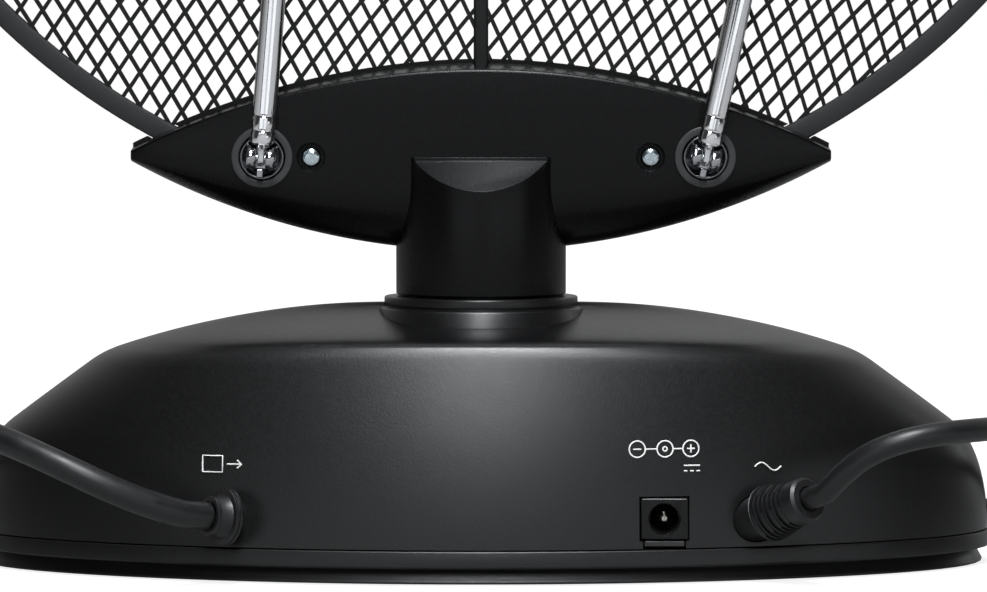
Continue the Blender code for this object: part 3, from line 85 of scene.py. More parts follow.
# Base
BASE_HALF_WIDTH = 0.119
BASE_DEPTH_SHARE = 0.57
DOME_DEPTH_SHARE = 0.05
DOME_START = 0.0520
BASE_REAR = 0.050
REAR_RADIUS = 0.240
REAR_DRAFT = math.radians(12.4)
WALL_BOW = 0.0011
WALL_SPAN = 0.048
SEAM_HEIGHT = 0.008
CROWN_HEIGHT = 0.0606
CROWN_HALF_WIDTH = 0.022
END_PLACE = (0.1122, 0.0316)
SHOULDER_PLACE = (0.0880, 0.0491)
BASE_WALL = 0.0022
SIDE_SHARES = np.linspace(0, 1, 13)[1:]
DOME_SHARES = np.linspace(0, 1, 21)[1:]
HOLLOW_STRIDE = 12
HOLLOW_POINTS = 48
POCKET_POINTS = 64
OUTLINE_POINTS = 168
PROFILE_STEP = 0.0006
PROFILE_EASE = 6  # steps to each side over which a corner of the profile is eased
CREASE_POWER = 12  # sharpness of the edge between the domed top and the rear face
PLATE_PROUD = 0.0008
PLATE_BAND = 0.0036
PLATE_LEAN = 0.0005
PLATE_BOTTOM = 0.0012
PLATE_UNDERCUT = 0.0026
PLATE_RECESS = 0.0018
PLATE_RECESS_SHARE = 0.62
SKIRT_FOOT = 0.0004
SKIRT_WIDTH = 0.0012
SKIRT_LIP = 0.0005
PLATE_ROUND = 0.0003
PLATE_FLOOR = 0.0034
FOOT_RADIUS = 0.007
FOOT_TAPER = 0.9
FOOT_DISH_SHARE = 0.62
FOOT_DISH_DEPTH = 0.0004
FOOT_PLACE = (0.062, 0.020)
SCREW_XS = (-0.088, 0.088)
SCREW_HEAD_RADIUS = 0.0028
SCREW_HEAD_HEIGHT = 0.0014
SCREW_HEAD_SHARES = ((0, 1), (0.55, 0.97), (0.86, 0.72), (1, 0.28), (1, 0))
SCREW_SHANK_RADIUS = 0.0012
SCREW_HOLE_RADIUS = 0.0015
SCREW_TURN = 0.35
SCREW_BLADE_SHARES = (0.62, 0.115, 0.35)  # half length and half width by the radius, foot by the height
SCREW_PIT_SHARES = (0.3, 0.2)  # width by the radius, foot by the height
PLATE_SCREW_SHANK = 0.0125
HEAD_SCREW_SHANK = 0.017

# Swivel, neck and head
COLLAR_RADIUS = 0.0225
COLLAR_TOP = 0.062
COLLAR_DEPTH = 0.009
BOSS_FOOT_RADIUS = 0.0252
BOSS_FOOT = 0.0556
BOSS_TOP_RADIUS = 0.0238
BOSS_TOP = 0.0594
SPIGOT_RADIUS = 0.0147
NECK_RADIUS = 0.01975
NECK_WALL = 0.0022
NECK_FACET_TOP = 0.0943
NECK_FACET_BOTTOM = 0.0866
NECK_STEP = 0.0010
NECK_DROP = 0.0008
NECK_EDGE = 0.0004
NECK_POINTS = 65
NECK_BORE_FOOT = 0.002
NECK_BORE_TOP = 0.0840
NECK_LIP = 0.003
HEAD_HALF_WIDTH = 0.0807
HEAD_LOWER_RADIUS = 0.1676
HEAD_UPPER_RADIUS = 0.1835
HEAD_TOP = 0.1144
HEAD_LEDGE = 0.0026
HEAD_LEDGE_TAPER = 0.3
HEAD_DEPTH = 0.0109
HEAD_TIP_DEPTH = 0.0070
HEAD_TIP_TAPER = 6
HEAD_TIP_HEIGHT = 0.0016
HEAD_ROUNDING_SHARE = 0.38
HEAD_LIP_DEPTH = 0.0009
HEAD_LIP_HEIGHT = 0.0010
HEAD_SECTIONS = 90
HEAD_EDGE_ROUND = 0.0006
HEAD_CREASE = 38
HEAD_SCREW_X = 0.039
HEAD_SCREW_HEAD = 0.0023
HEAD_SCREW_SINK = 0.0022
HEAD_WELL = 0.0030
HEAD_WELL_EDGE = 0.0004

# Reflector
DISC_RADIUS = 0.1605
DISC_CENTRE_Z = 0.240
RIM_WIDTH = 0.0048
RIM_DEPTH = 0.0040
RIM_GROOVE = 0.0016
RIM_ROUND = 0.0006
RING_STEPS = 240
MESH_THICKNESS = 0.0007
MESH_LAP = 0.0060
MESH_SHORT = 0.00495
MESH_LONG = 0.00775
MESH_SHEET = 0.00042
MESH_RAISE = 0.00012
BOND_HALF_SHORT = 0.00060
BOND_HALF_LONG = 0.00085
MESH_TURN = math.radians(7.6)
MESH_FAN = 1.445  # how much more the columns lean for each metre across
MESH_FAN_FOOT = -0.125  # height of the lower part, from the disc's centre, where they fan out
MESH_FAN_REACH = 0.050
MESH_CREASE = 25
MESH_CUT = 0.002

# Feeder and dipole
MAST_WIDTH = 0.0034
MAST_DEPTH = 0.0030
MAST_FOOT = 0.1010
MAST_ROUND = 0.0007
HUB_RADIUS = 0.0130
HUB_REAR_DEPTH = 0.0056
HUB_FRONT_DEPTH = 0.0130
HUB_REAR_DISH = 0.0009
HUB_REAR_DISH_SHARE = 0.30
HUB_REAR_SHARES = ((0.36, 1), (0.82, 1), (1, 0.55), (1, 0), (0, 0))
HUB_REAR_ROUND = 0.0008
HUB_FRONT_SHARES = ((0, 1), (0.70, 1), (0.92, 0.80), (1, 0.30), (1, 0), (0, 0))
HUB_FRONT_ROUND = 0.0016
STUB_RADIUS = 0.0022
STUB_REACH = 0.0042
DIPOLE_RADIUS = 0.0025
DIPOLE_LENGTH = 0.0960
DIPOLE_INNER = 0.0035
DIPOLE_AHEAD = 0.0078
DIPOLE_THIN_SHARE = 0.86
DIPOLE_SHOULDER = (0.0140, 0.0146)
DIPOLE_END = ((1, 0.0022), (0.7, 0.0004), (0, 0))  # share of the radius, distance from the end

# Rods
PIVOT_X = {"left": -0.0502, "right": 0.0515}
ROD_LEAN = {"left": math.radians(4.7), "right": math.radians(11.9)}
PIVOT_Z = 0.0943
SOCKET_RING_RADIUS = 0.00705
SOCKET_RING_PROUD = 0.0006
SOCKET_RING_SINK = 0.0004
SOCKET_OVERCUT = 0.003
FORK_RADIUS = 0.0050
FORK_PROUD = 0.0003
FORK_DISH = 0.0019
FORK_RIM = 0.0005
FORK_SINK = 0.0030
FORK_FLANGE_RADIUS = 0.0060
FORK_FLANGE = 0.0020
FORK_PLATE_SHARE = 0.7
EAR_INNER = 0.00105
EAR_OUTER = 0.0033
EAR_RADIUS = 0.0025
PIN_RADIUS = 0.0008
PIN_PLAY = 0.0001
PIN_ROOM = 0.01
PIN_CHAMFER = 0.0002
PIN_END_SHARE = 0.8
TONGUE_THICKNESS = 0.0015
TONGUE_RADIUS = 0.0020
TONGUE_LAP = 0.0004
RIB_INSET = 0.0004
TUBE_START = 0.0032
LUG_PLUG_LENGTH = 0.0060
LUG_PLUG_RADIUS = 0.0022
TUBE_RADII = (0.00275, 0.00220, 0.00170, 0.00120)
TUBE_WALL = (0.00035, 0.00030, 0.00030)
TUBE_LENGTHS = (0.190, 0.186, 0.182, 0.178)
TUBE_PULLED = 0.040
CRIMP_HEIGHTS = (0.0029, 0.0063)
CRIMP_DEPTH = 0.00026
CRIMP_HALF = 0.00045
CRIMP_SIDE_SHARE = 0.75
CRIMP_EVEN_SHARE = 0.72
TUBE_FOOT_EDGE = (0.0002, 0.0004)
MOUTH_PLAY = 0.00012
MOUTH_ROLL = ((0, 0.0018), (0.0001, 0.0011), (0.0003, 0.0004))  # inset from the tube, distance from its end
MOUTH_LIP = ((0.0001, 0), (0, 0.0001), (0, 0.0008))  # distance out from the lip, and from the tube's end
MOUTH_DEPTH = 0.0016
TIP_RADIUS = 0.0029
TIP_LENGTH = 0.0062
TIP_CROWN = ((0, 1), (0.55, 0.97), (0.92, 0.80), (1, 0.58), (1, 0.34))
TIP_FOOT = ((0.84, 0.28), (0.84, 0.18), (0.96, 0.12), (0.90, 0), (0, 0))

# Sockets and controls
JACK_X = 0.0408
JACK_Z = 0.0147
JACK_WIDTH = 0.0106
JACK_HEIGHT = 0.0092
JACK_DEPTH = 0.0130
JACK_BORE = 0.00315
JACK_BORE_DEPTH = 0.0095
JACK_MOUTH_EDGE = 0.0005
JACK_MOUTH_DEPTH = 0.0006
JACK_PIN_RADIUS = 0.00105
JACK_PIN_POINT = 0.0006
JACK_PIN_HEIGHTS = (0.0012, 0.0019, 0.0145)
JACK_PIN_SLOT = (0.0002, 0.002, 0.006)
JACK_TAB_WIDTH = 0.0090
JACK_TAB_FACES = (0.0004, 0.004)
JACK_TAB_ROOM = 0.005
KNOB_Z = 0.0340
KNOB_RADIUS = 0.0095
KNOB_LENGTH = 0.0056
KNOB_FLUTES = 36
KNOB_FLUTE_DEPTH = 0.00022
KNOB_FACE = ((0, 0.0006), (0.62, 0.0006), (0.68, 0), (0.84, 0), (0.90, 0.0003))  # share of the radius, drop
KNOB_FLUTE_TOP = (0.93, 0.0011)
KNOB_FLUTE_FOOT = (0.985, 0.0009)
KNOB_SKIRT = 0.0007
KNOB_BORE = 0.0030
KNOB_BORE_SHARE = 0.6
KNOB_MARK_HALF = 0.0003
KNOB_MARK_SPAN = (0.0022, 0.0056)
KNOB_MARK_DROPS = (0.0008, 0.0004)
KNOB_MARK_ROUND = 0.0001
LED_X = 0.0260
LED_RADIUS = 0.0015
LED_LENGTH = 0.0050
LED_PROUD = 0.0013

# Leads
LEAD_Z = 0.0145
GLAND_X = -0.0508
GLAND_AXIS = Vector((-0.80, -0.585, 0.12)).normalized()
GLAND_RADIUS = 0.00625
GLAND_END_RADIUS = 0.0044
GLAND_FLANGE_START = 0.0062
GLAND_FLANGE_LENGTH = 0.0018
GLAND_NECK_RADIUS = 0.0036
GLAND_LENGTH = 0.0115
GLAND_SINK = 0.0050
GLAND_RIDGE = 0.0003
GLAND_MOUTH = 0.0006
GLAND_LIP = 0.0008
GLAND_WAIST = (0.0003, 0.0009)
GLAND_FLARE = 0.0006
GLAND_ROUND = 0.00016
RELIEF_X = 0.0620
RELIEF_AXIS = Vector((0.60, -0.72, 0.32)).normalized()
RELIEF_RADIUS = 0.0065
RELIEF_END_RADIUS = 0.0050
RELIEF_START = 0.0036
RELIEF_RIBBED_SHARE = 0.75
RELIEF_SLOTS = 7
RELIEF_SLOT_SHARES = (0.54, 0.56, 0.97, 0.99)
RELIEF_SLOT_DEPTH = 0.0012
RELIEF_BRIDGE = 0.90  # cosine of the half angle of a bridge
RELIEF_TURN = 0.5
RELIEF_PLAIN = 0.0004
RELIEF_EDGE = 0.0003
RELIEF_MOUTH = 0.0006
RELIEF_LENGTH = 0.0168
COAX_RADIUS = 0.00305
COAX_ROUTE = (
    (-0.0700, -0.0565, 0.0182),
    (-0.0799, -0.0595, 0.0224),
    (-0.0904, -0.0595, 0.0274),
    (-0.1051, -0.0530, 0.0331),
    (-0.1180, -0.0400, 0.0355),
    (-0.1280, -0.0180, 0.0335),
    (-0.1325, 0.0060, 0.0270),
    (-0.1320, 0.0300, 0.0175),
    (-0.1250, 0.0525, 0.0090),
    (-0.1120, 0.0740, 0.0048),
)
COAX_COIL_CENTRE = Vector((-0.0560, 0.1040, 0.0))
COAX_COIL_INNER = 0.0275
COAX_TURNS = (2, 2.25)
COAX_TAIL = 0.030
COAX_PLUG_RADIUS = 0.0064
COAX_PLUG_LENGTH = 0.0300
COAX_PLUG_EDGE = 0.0006
COAX_PLUG_BAND = 0.0030
COAX_KNURLS = 24
COAX_KNURL_DEPTH = 0.0003
COAX_KNURL_DROP = 0.0034
COAX_KNURL_FOOT = 0.0125
COAX_PLUG_TAIL = ((1, 0.0121), (1, 0.0108), (0.80, 0.0090), (0.72, 0.0006), (0.66, 0), (0, 0))
COAX_SLEEVE_RADIUS = 0.00475
COAX_SLEEVE_WALL = 0.0006
COAX_SLEEVE_LENGTH = 0.0154
COAX_SLEEVE_SEAT = 0.0055
COAX_PIN_RADIUS = 0.00115
COAX_PIN_LENGTH = 0.0195
COAX_PIN_POINT = 0.0012
MAINS_RADIUS = 0.0026
MAINS_ROUTE = (
    (0.0821, -0.0630, 0.0294),
    (0.0900, -0.0650, 0.0333),
    (0.0987, -0.0640, 0.0351),
    (0.1105, -0.0560, 0.0355),
    (0.1190, -0.0400, 0.0345),
    (0.1255, -0.0170, 0.0305),
    (0.1300, 0.0110, 0.0215),
    (0.1300, 0.0370, 0.0112),
    (0.1230, 0.0605, 0.0052),
    (0.1085, 0.0800, 0.0044),
)
MAINS_COIL_CENTRE = Vector((0.0520, 0.1000, 0.0))
MAINS_COIL_INNER = 0.0200
MAINS_TURNS = (3, 3)
MAINS_TAIL = 0.028
MAINS_PLUG_HALF_WIDTH = 0.0165
MAINS_PLUG_HALF_HEIGHT = 0.0064
MAINS_PLUG_LENGTH = 0.0360
MAINS_PLUG_NECK = 0.0058
MAINS_PLUG_WAIST = 0.0070
MAINS_PLUG_STEPS = (0.0080, 0.0280)
MAINS_PLUG_ROUND = 0.0024
MAINS_PLUG_EDGE = 0.0020
PLUG_RIBS = 5
PLUG_RIB_START = 0.004
PLUG_RIB_PITCH = 0.0028
PLUG_RIB_RADIUS = 0.0008
PLUG_RIB_HALF = 0.006
MAINS_PIN_RADIUS = 0.0020
MAINS_PIN_LENGTH = 0.0190
MAINS_PIN_SPACING = 0.0093
MAINS_PIN_SLEEVE_SHARE = 0.94
MAINS_PIN_SLEEVE = (0.0095, 0.0096)
MAINS_PIN_POINT = (0.55, 0.0016)
COIL_GAP = 0.0006
LOOP_POINTS = 48
ROUTE_STEPS = 24
TIE_WIDTH = 0.0050
TIE_THICKNESS = 0.0005
TIE_ROUND = 0.0024
TIE_ROOM_ROUND = 0.0022
LEAD_PLAY = 0.0003
LEAD_RESOLUTION = 6
LEAD_EASE_ROUNDS = 6
LEAD_SPACING = 0.4  # points of a lead's own run, by its diameter

# Printed signs, each line a run of (x, height) on the rear face
INK_RADIUS = 0.00019
INK_RESOLUTION = 1
POLARITY_Z = 0.0300
POLARITY_XS = (0.0348, 0.0410, 0.0468)
POLARITY_RING = 0.0018
POLARITY_LINES = ((0.0366, 0.0392), (0.0428, 0.0450), (0.0339, 0.0357), (0.0459, 0.0477))
POLARITY_STROKE = 0.0009
POLARITY_DOT = 0.0005
CURRENT_Z = 0.0257
DIRECT_SPAN = (0.0452, 0.0488)
DIRECT_DASHES = (0.0452, 0.0466, 0.0480)
DIRECT_DASH = 0.0008
DIRECT_RISE = 0.0006
WAVE_START = 0.0612
WAVE_LENGTH = 0.0060
WAVE_RISE = 0.0009
SCREEN_Z = 0.0266
SCREEN_SIDES = (-0.0620, -0.0575)
SCREEN_EDGES = (-0.0020, 0.0016)
ARROW_XS = (-0.0565, -0.0542, -0.0532)
ARROW_MIDDLE = -0.0002
ARROW_BARBS = (0.0007, -0.0011)

# Values that follow from those above
PLATE_TOP = SEAM_HEIGHT - GAP / 2
HOUSING_BOTTOM = SEAM_HEIGHT + GAP / 2
NECK_BOTTOM = COLLAR_TOP + GAP
SPLIT_Y = MESH_THICKNESS / 2 + GAP
HEAD_REAR_Y = -(SPLIT_Y + HEAD_DEPTH)
COIL_LIFT = TIE_THICKNESS + GAP
ELBOW_Y = HEAD_REAR_Y - SOCKET_RING_PROUD - TUBE_RADII[0] - 2 * GAP
FORK_FACE = HEAD_REAR_Y - SOCKET_RING_PROUD - FORK_PROUD

MATERIALS = {}

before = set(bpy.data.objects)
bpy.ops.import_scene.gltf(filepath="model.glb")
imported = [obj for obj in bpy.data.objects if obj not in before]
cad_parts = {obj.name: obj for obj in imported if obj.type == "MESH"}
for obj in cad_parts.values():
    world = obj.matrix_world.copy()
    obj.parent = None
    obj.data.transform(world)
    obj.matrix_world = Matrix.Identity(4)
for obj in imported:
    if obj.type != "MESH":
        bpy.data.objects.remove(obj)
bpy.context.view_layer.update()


# Materials

def add_node(material, kind, **values):
    made = material.node_tree.nodes.new(kind)
    for key, value in values.items():
        made.inputs[key.replace("_", " ")].default_value = value
    return made


def wire(material, start, start_socket, end, end_socket):
    material.node_tree.links.new(start.outputs[start_socket], end.inputs[end_socket])


def combine(material, operation, *sources):
    """A maths node fed by pairs of a node and one of its outputs."""
    made = add_node(material, "ShaderNodeMath")
    made.operation = operation
    for i, (source, output) in enumerate(sources):
        wire(material, source, output, made, i)
    return made


def spread(material, source, low, high):
    """A map of a 0 to 1 pattern onto a range of values."""
    ranged = add_node(
        material, "ShaderNodeMapRange", From_Min=PATTERN_LOW, From_Max=PATTERN_HIGH, To_Min=low, To_Max=high
    )
    wire(material, source, 0, ranged, "Value")
    return ranged


def surface(
    name,
    colour,
    roughness,
    metallic=0.0,
    grain=PLAIN_GRAIN,
    mottle=PLAIN_MOTTLE,
    tone=0.12,
    shine=0.5,
    coat=0.0,
):
    """Add a material whose roughness, tone and fine relief vary over the surface."""
    made = bpy.data.materials.new(name)
    made.use_nodes = True
    shader = made.node_tree.nodes["Principled BSDF"]
    shader.inputs["Metallic"].default_value = metallic
    shader.inputs["Specular IOR Level"].default_value = shine
    shader.inputs["Coat Weight"].default_value = coat
    place = add_node(made, "ShaderNodeTexCoord")
    grain_scale, grain_strength, grain_depth = grain
    fine = add_node(made, "ShaderNodeTexNoise", Scale=grain_scale, Detail=3.0, Roughness=0.6)
    wire(made, place, "Object", fine, "Vector")
    relief = add_node(made, "ShaderNodeBump", Strength=grain_strength, Distance=grain_depth)
    wire(made, fine, 0, relief, "Height")
    wire(made, relief, 0, shader, "Normal")
    mottle_scale, mottle_amount = mottle
    broad = add_node(made, "ShaderNodeTexNoise", Scale=mottle_scale, Detail=4.0, Roughness=0.55)
    wire(made, place, "Object", broad, "Vector")
    rough = spread(made, broad, max(roughness - mottle_amount, LEAST_ROUGHNESS), roughness + mottle_amount)
    wire(made, rough, 0, shader, "Roughness")
    ramp = add_node(made, "ShaderNodeValToRGB")
    dark, light = ramp.color_ramp.elements
    dark.position = PATTERN_LOW
    light.position = PATTERN_HIGH
    dark.color = (*(c * (1 - tone) for c in colour), 1.0)
    light.color = (*(min(c * (1 + tone), 1.0) for c in colour), 1.0)
    wire(made, fine, 0, ramp, "Fac")
    wire(made, ramp, 0, shader, "Base Color")
    MATERIALS[name] = made


def make_materials():
    surface("black_abs", BLACK, 0.34, grain=(2300, 0.5, 0.00006), mottle=(900, 0.02), tone=0.25)
    surface("gloss_abs", BLACK, 0.27, grain=SMOOTH_GRAIN, mottle=SMOOTH_MOTTLE, shine=0.38)
    surface("head_abs", (0.0020, 0.0020, 0.0022), 0.27, grain=SMOOTH_GRAIN, mottle=SMOOTH_MOTTLE, shine=0.18)
    surface("socket_grey", (0.020, 0.020, 0.021), 0.42, grain=(2000, 0.25, 0.00005))
    surface("black_paint", (0.0026, 0.0026, 0.0028), 0.40, grain=(1400, 0.25, 0.00005), shine=0.25)
    surface("rim_grey", (0.0075, 0.0075, 0.0080), 0.50, grain=(1800, 0.25, 0.00005), shine=0.42)
    surface("rubber", (0.018, 0.018, 0.018), 0.75, grain=(1300, 0.35, 0.00008))
    surface("pvc_black", (0.0060, 0.0060, 0.0064), 0.42, grain=(700, 0.30, 0.00008))
    surface("chrome", (0.88, 0.88, 0.90), 0.08, 1.0, CHROME_GRAIN, mottle=(150, 0.03), tone=0.03)
    surface("dull_chrome", (0.46, 0.46, 0.48), 0.13, 1.0, CHROME_GRAIN, tone=0.04)
    surface("zinc", (0.62, 0.71, 0.75), 0.20, 1.0, (2400, 0.02, 0.00002), mottle=(900, 0.03), tone=0.08)
    surface("black_nickel", (0.15, 0.15, 0.16), 0.24, 1.0, (1800, 0.05, 0.00002))
    surface("brass", (0.72, 0.56, 0.28), 0.22, 1.0, (2000, 0.08, 0.00003), tone=0.06)
    surface("nickel", (0.66, 0.64, 0.60), 0.20, 1.0, (2200, 0.08, 0.00003), tone=0.05)
    surface("copper", (0.55, 0.24, 0.12), 0.34, 1.0, (900, 0.3, 0.0001))
    surface("core_steel", (0.28, 0.28, 0.29), 0.42, 1.0, (1200, 0.3, 0.00008))
    surface("board_green", (0.02, 0.11, 0.05), 0.40)
    surface("lens_red", (0.50, 0.02, 0.02), 0.10, tone=0.05, coat=0.6)
    surface("ink_white", (0.82, 0.82, 0.80), 0.55, grain=(3000, 0.2, 0.00003))


# Shapes

def new_piece(name, data, finish):
    obj = bpy.data.objects.new(name, data)
    bpy.context.scene.collection.objects.link(obj)
    if finish is not None:
        data.materials.append(MATERIALS[finish])
    return obj


def new_curve(name, radius, resolution, runs, finish):
    """Round lines through runs of points."""
    curve = bpy.data.curves.new(name, "CURVE")
    curve.dimensions = "3D"
    curve.bevel_depth = radius
    curve.bevel_resolution = resolution
    curve.use_fill_caps = True
    for run in runs:
        spline = curve.splines.new("POLY")
        spline.points.add(len(run) - 1)
        for point, place in zip(spline.points, run):
            point.co = (*place, 1.0)
    return new_piece(name, curve, finish)


def shade(mesh, crease=CREASE):
    mesh.shade_smooth()
    mesh.set_sharp_from_angle(angle=math.radians(crease))


def from_faces(name, points, faces, finish=None, crease=CREASE):
    mesh = bpy.data.meshes.new(name)
    mesh.from_pydata([tuple(p) for p in points], [], faces)
    shape = bmesh.new()
    shape.from_mesh(mesh)
    bmesh.ops.recalc_face_normals(shape, faces=shape.faces)
    shape.to_mesh(mesh)
    shape.free()
    shade(mesh, crease)
    return new_piece(name, mesh, finish)


def loft(name, sections, finish=None, crease=CREASE):
    """A closed body through outlines that have the same number of points."""
    count = len(sections[0])
    points = [p for section in sections for p in section]
    faces = []
    for row in range(len(sections) - 1):
        for i in range(count):
            j = (i + 1) % count
            a = row * count
            faces.append((a + i, a + j, a + count + j, a + count + i))
    faces.append(tuple(range(count)))
    faces.append(tuple(range((len(sections) - 1) * count, len(sections) * count)))
    return from_faces(name, points, faces, finish, crease)


def revolve(name, rows, finish=None, place=None, steps=48, closed=False):
    """Rows of (radius, height) turned about Z. A radius may be a function of the angle, and 0 is a pole."""
    angles = np.linspace(0, 2 * math.pi, steps, endpoint=False)
    points = []
    starts = []
    for radius, height in rows:
        starts.append((len(points), radius == 0))
        if radius == 0:
            points.append((0, 0, height))
            continue
        for angle in angles:
            r = radius(angle) if callable(radius) else radius
            points.append((r * math.cos(angle), r * math.sin(angle), height))
    faces = []
    pairs = list(zip(starts, starts[1:]))
    if closed:
        pairs.append((starts[-1], starts[0]))
    for (a, a_pole), (b, b_pole) in pairs:
        for i in range(steps):
            j = (i + 1) % steps
            if a_pole:
                faces.append((a, b + i, b + j))
            elif b_pole:
                faces.append((a + i, a + j, b))
            else:
                faces.append((a + i, a + j, b + j, b + i))
    made = from_faces(name, points, faces, finish)
    if place is not None:
        made.matrix_world = place
    return made


def bend(start, control, end, shares):
    """Points of a curve from start to end that is drawn towards the control point."""
    start, control, end = (np.array(p, float) for p in (start, control, end))
    return [tuple((1 - t) ** 2 * start + 2 * t * (1 - t) * control + t * t * end) for t in shares]


def smoothstep(t):
    return t * t * (3 - 2 * t)


def evenly(points, spacing):
    """Points at an even spacing along a line of points."""
    line = np.array(points)
    run = np.concatenate([[0.0], np.cumsum(np.linalg.norm(np.diff(line, axis=0), axis=1))])
    at = np.linspace(0, run[-1], max(round(run[-1] / spacing), 2) + 1)
    return np.column_stack([np.interp(at, run, line[:, k]) for k in range(line.shape[1])])


def eased_corner(before, corner, after, radius, count=5):
    """Points of a rounding that replaces one corner of a profile."""
    before, corner, after = (np.array(p, float) for p in (before, corner, after))
    start = corner + (before - corner) * min(radius / np.linalg.norm(before - corner), 0.5)
    end = corner + (after - corner) * min(radius / np.linalg.norm(after - corner), 0.5)
    return bend(start, corner, end, np.linspace(0, 1, count))


def rounded(profile, radius, closed=False, count=5):
    """The profile with every inner corner eased."""
    last = len(profile)
    made = []
    for i, corner in enumerate(profile):
        if not closed and i in (0, last - 1):
            made.append(tuple(corner))
            continue
        made += eased_corner(profile[i - 1], corner, profile[(i + 1) % last], radius, count)
    return made


def scaled(shares, radius, height):
    """A profile from shares of a radius and of a height."""
    return [(radius * r, height * h) for r, h in shares]


def solid_rows(radius, low, high):
    """The profile of a plain round bar."""
    return [(0, low), (radius, low), (radius, high), (0, high)]


def ring_rows(outer, inner, low, high):
    """The closed profile of a ring."""
    return [(outer, low), (outer, high), (inner, high), (inner, low)]


def half_round(radius):
    """Points round half a circle, as a cosine and a sine by the radius."""
    return [(radius * math.cos(a), radius * math.sin(a)) for a in np.linspace(0, math.pi, HALF_ROUND_POINTS)]


def slab(name, outline, levels, along="z", finish=None):
    """An outline drawn out along one axis. Its own points lie in the other two, in the order x, y, z."""
    at = "xyz".index(along)
    sections = []
    for level in levels:
        sections.append([Vector((*p[:at], level, *p[at:])) for p in outline])
    return loft(name, sections, finish)


def box_between(name, low, high, finish=None):
    low = Vector(low)
    high = Vector(high)
    outline = [(low.x, low.y), (high.x, low.y), (high.x, high.y), (low.x, high.y)]
    return slab(name, outline, (low.z, high.z), "z", finish)


def turn_to(axis):
    """The rotation that takes +Z to the axis."""
    return Vector(axis).to_track_quat("Z", "Y").to_matrix().to_4x4()


def aimed(place, axis):
    """A frame at the place whose +Z points along the axis."""
    return Matrix.Translation(place) @ turn_to(axis)


def bar(name, radius, start, end, steps=48):
    """A round bar between two points."""
    along = Vector(end) - Vector(start)
    return revolve(name, solid_rows(radius, 0, along.length), None, aimed(start, along), steps)


def bake_modifiers(obj, crease=CREASE):
    bpy.context.view_layer.update()
    graph = bpy.context.evaluated_depsgraph_get()
    mesh = bpy.data.meshes.new_from_object(obj.evaluated_get(graph))
    obj.modifiers.clear()
    obj.data = mesh
    shade(mesh, crease)


def carve(target, operation, *tools, crease=CREASE):
    """Cut the tools out of the target, or join them to it, and remove them."""
    for tool in tools:
        step = target.modifiers.new("carve", "BOOLEAN")
        step.operation = operation
        step.solver = "MANIFOLD"
        step.object = tool
    bake_modifiers(target, crease)
    for tool in tools:
        bpy.data.objects.remove(tool, do_unlink=True)
    return target


def soften(obj, width, segments=2, angle=40, harden=True):
    """Round the edges that are sharper than the angle."""
    bevel = obj.modifiers.new("soften", "BEVEL")
    bevel.width = width
    bevel.segments = segments
    bevel.limit_method = "ANGLE"
    bevel.angle_limit = math.radians(angle)
    bevel.harden_normals = harden
    bake_modifiers(obj)
    return obj


def settle(piece, body, slot=None, *nodes):
    """Let the piece ride on a body, and stand for the nodes."""
    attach(piece, body)
    if nodes:
        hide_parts(*nodes)
    return piece


# Camera and light

def make_camera():
    camera = bpy.data.cameras.new("camera")
    camera.sensor_width = SENSOR_WIDTH
    camera.lens = LENS
    camera.clip_start, camera.clip_end = CLIP
    obj = bpy.data.objects.new("camera", camera)
    obj.location = CAMERA_PLACE
    obj.rotation_euler = (math.pi / 2 - CAMERA_DIP, 0, 0)
    bpy.context.scene.collection.objects.link(obj)
    bpy.context.scene.camera = obj


def seen_directly(material):
    """The light path, and 1 for the rays that see the background, straight or through glass."""
    path = add_node(material, "ShaderNodeLightPath")
    seen = combine(material, "MAXIMUM", (path, "Is Camera Ray"), (path, "Is Transmission Ray"))
    return path, seen


def make_world():
    """White to the eye. For light and reflections, a room that is pale behind the object, dim before it."""
    world = bpy.data.worlds.new("studio")
    bpy.context.scene.world = world
    world.use_nodes = True
    background = world.node_tree.nodes["Background"]
    background.inputs["Color"].default_value = WHITE
    direction = add_node(world, "ShaderNodeTexCoord")
    parts = add_node(world, "ShaderNodeSeparateXYZ")
    wire(world, direction, "Generated", parts, 0)
    dim, pale = ROOM_TURN
    room = add_node(
        world, "ShaderNodeMapRange", From_Min=dim, From_Max=pale, To_Min=ROOM_BEFORE, To_Max=ROOM_BEHIND
    )
    room.interpolation_type = "SMOOTHSTEP"
    wire(world, parts, "Y", room, "Value")
    _, seen = seen_directly(world)
    level = combine(world, "MAXIMUM", (seen, 0), (room, 0))
    wire(world, level, 0, background, "Strength")


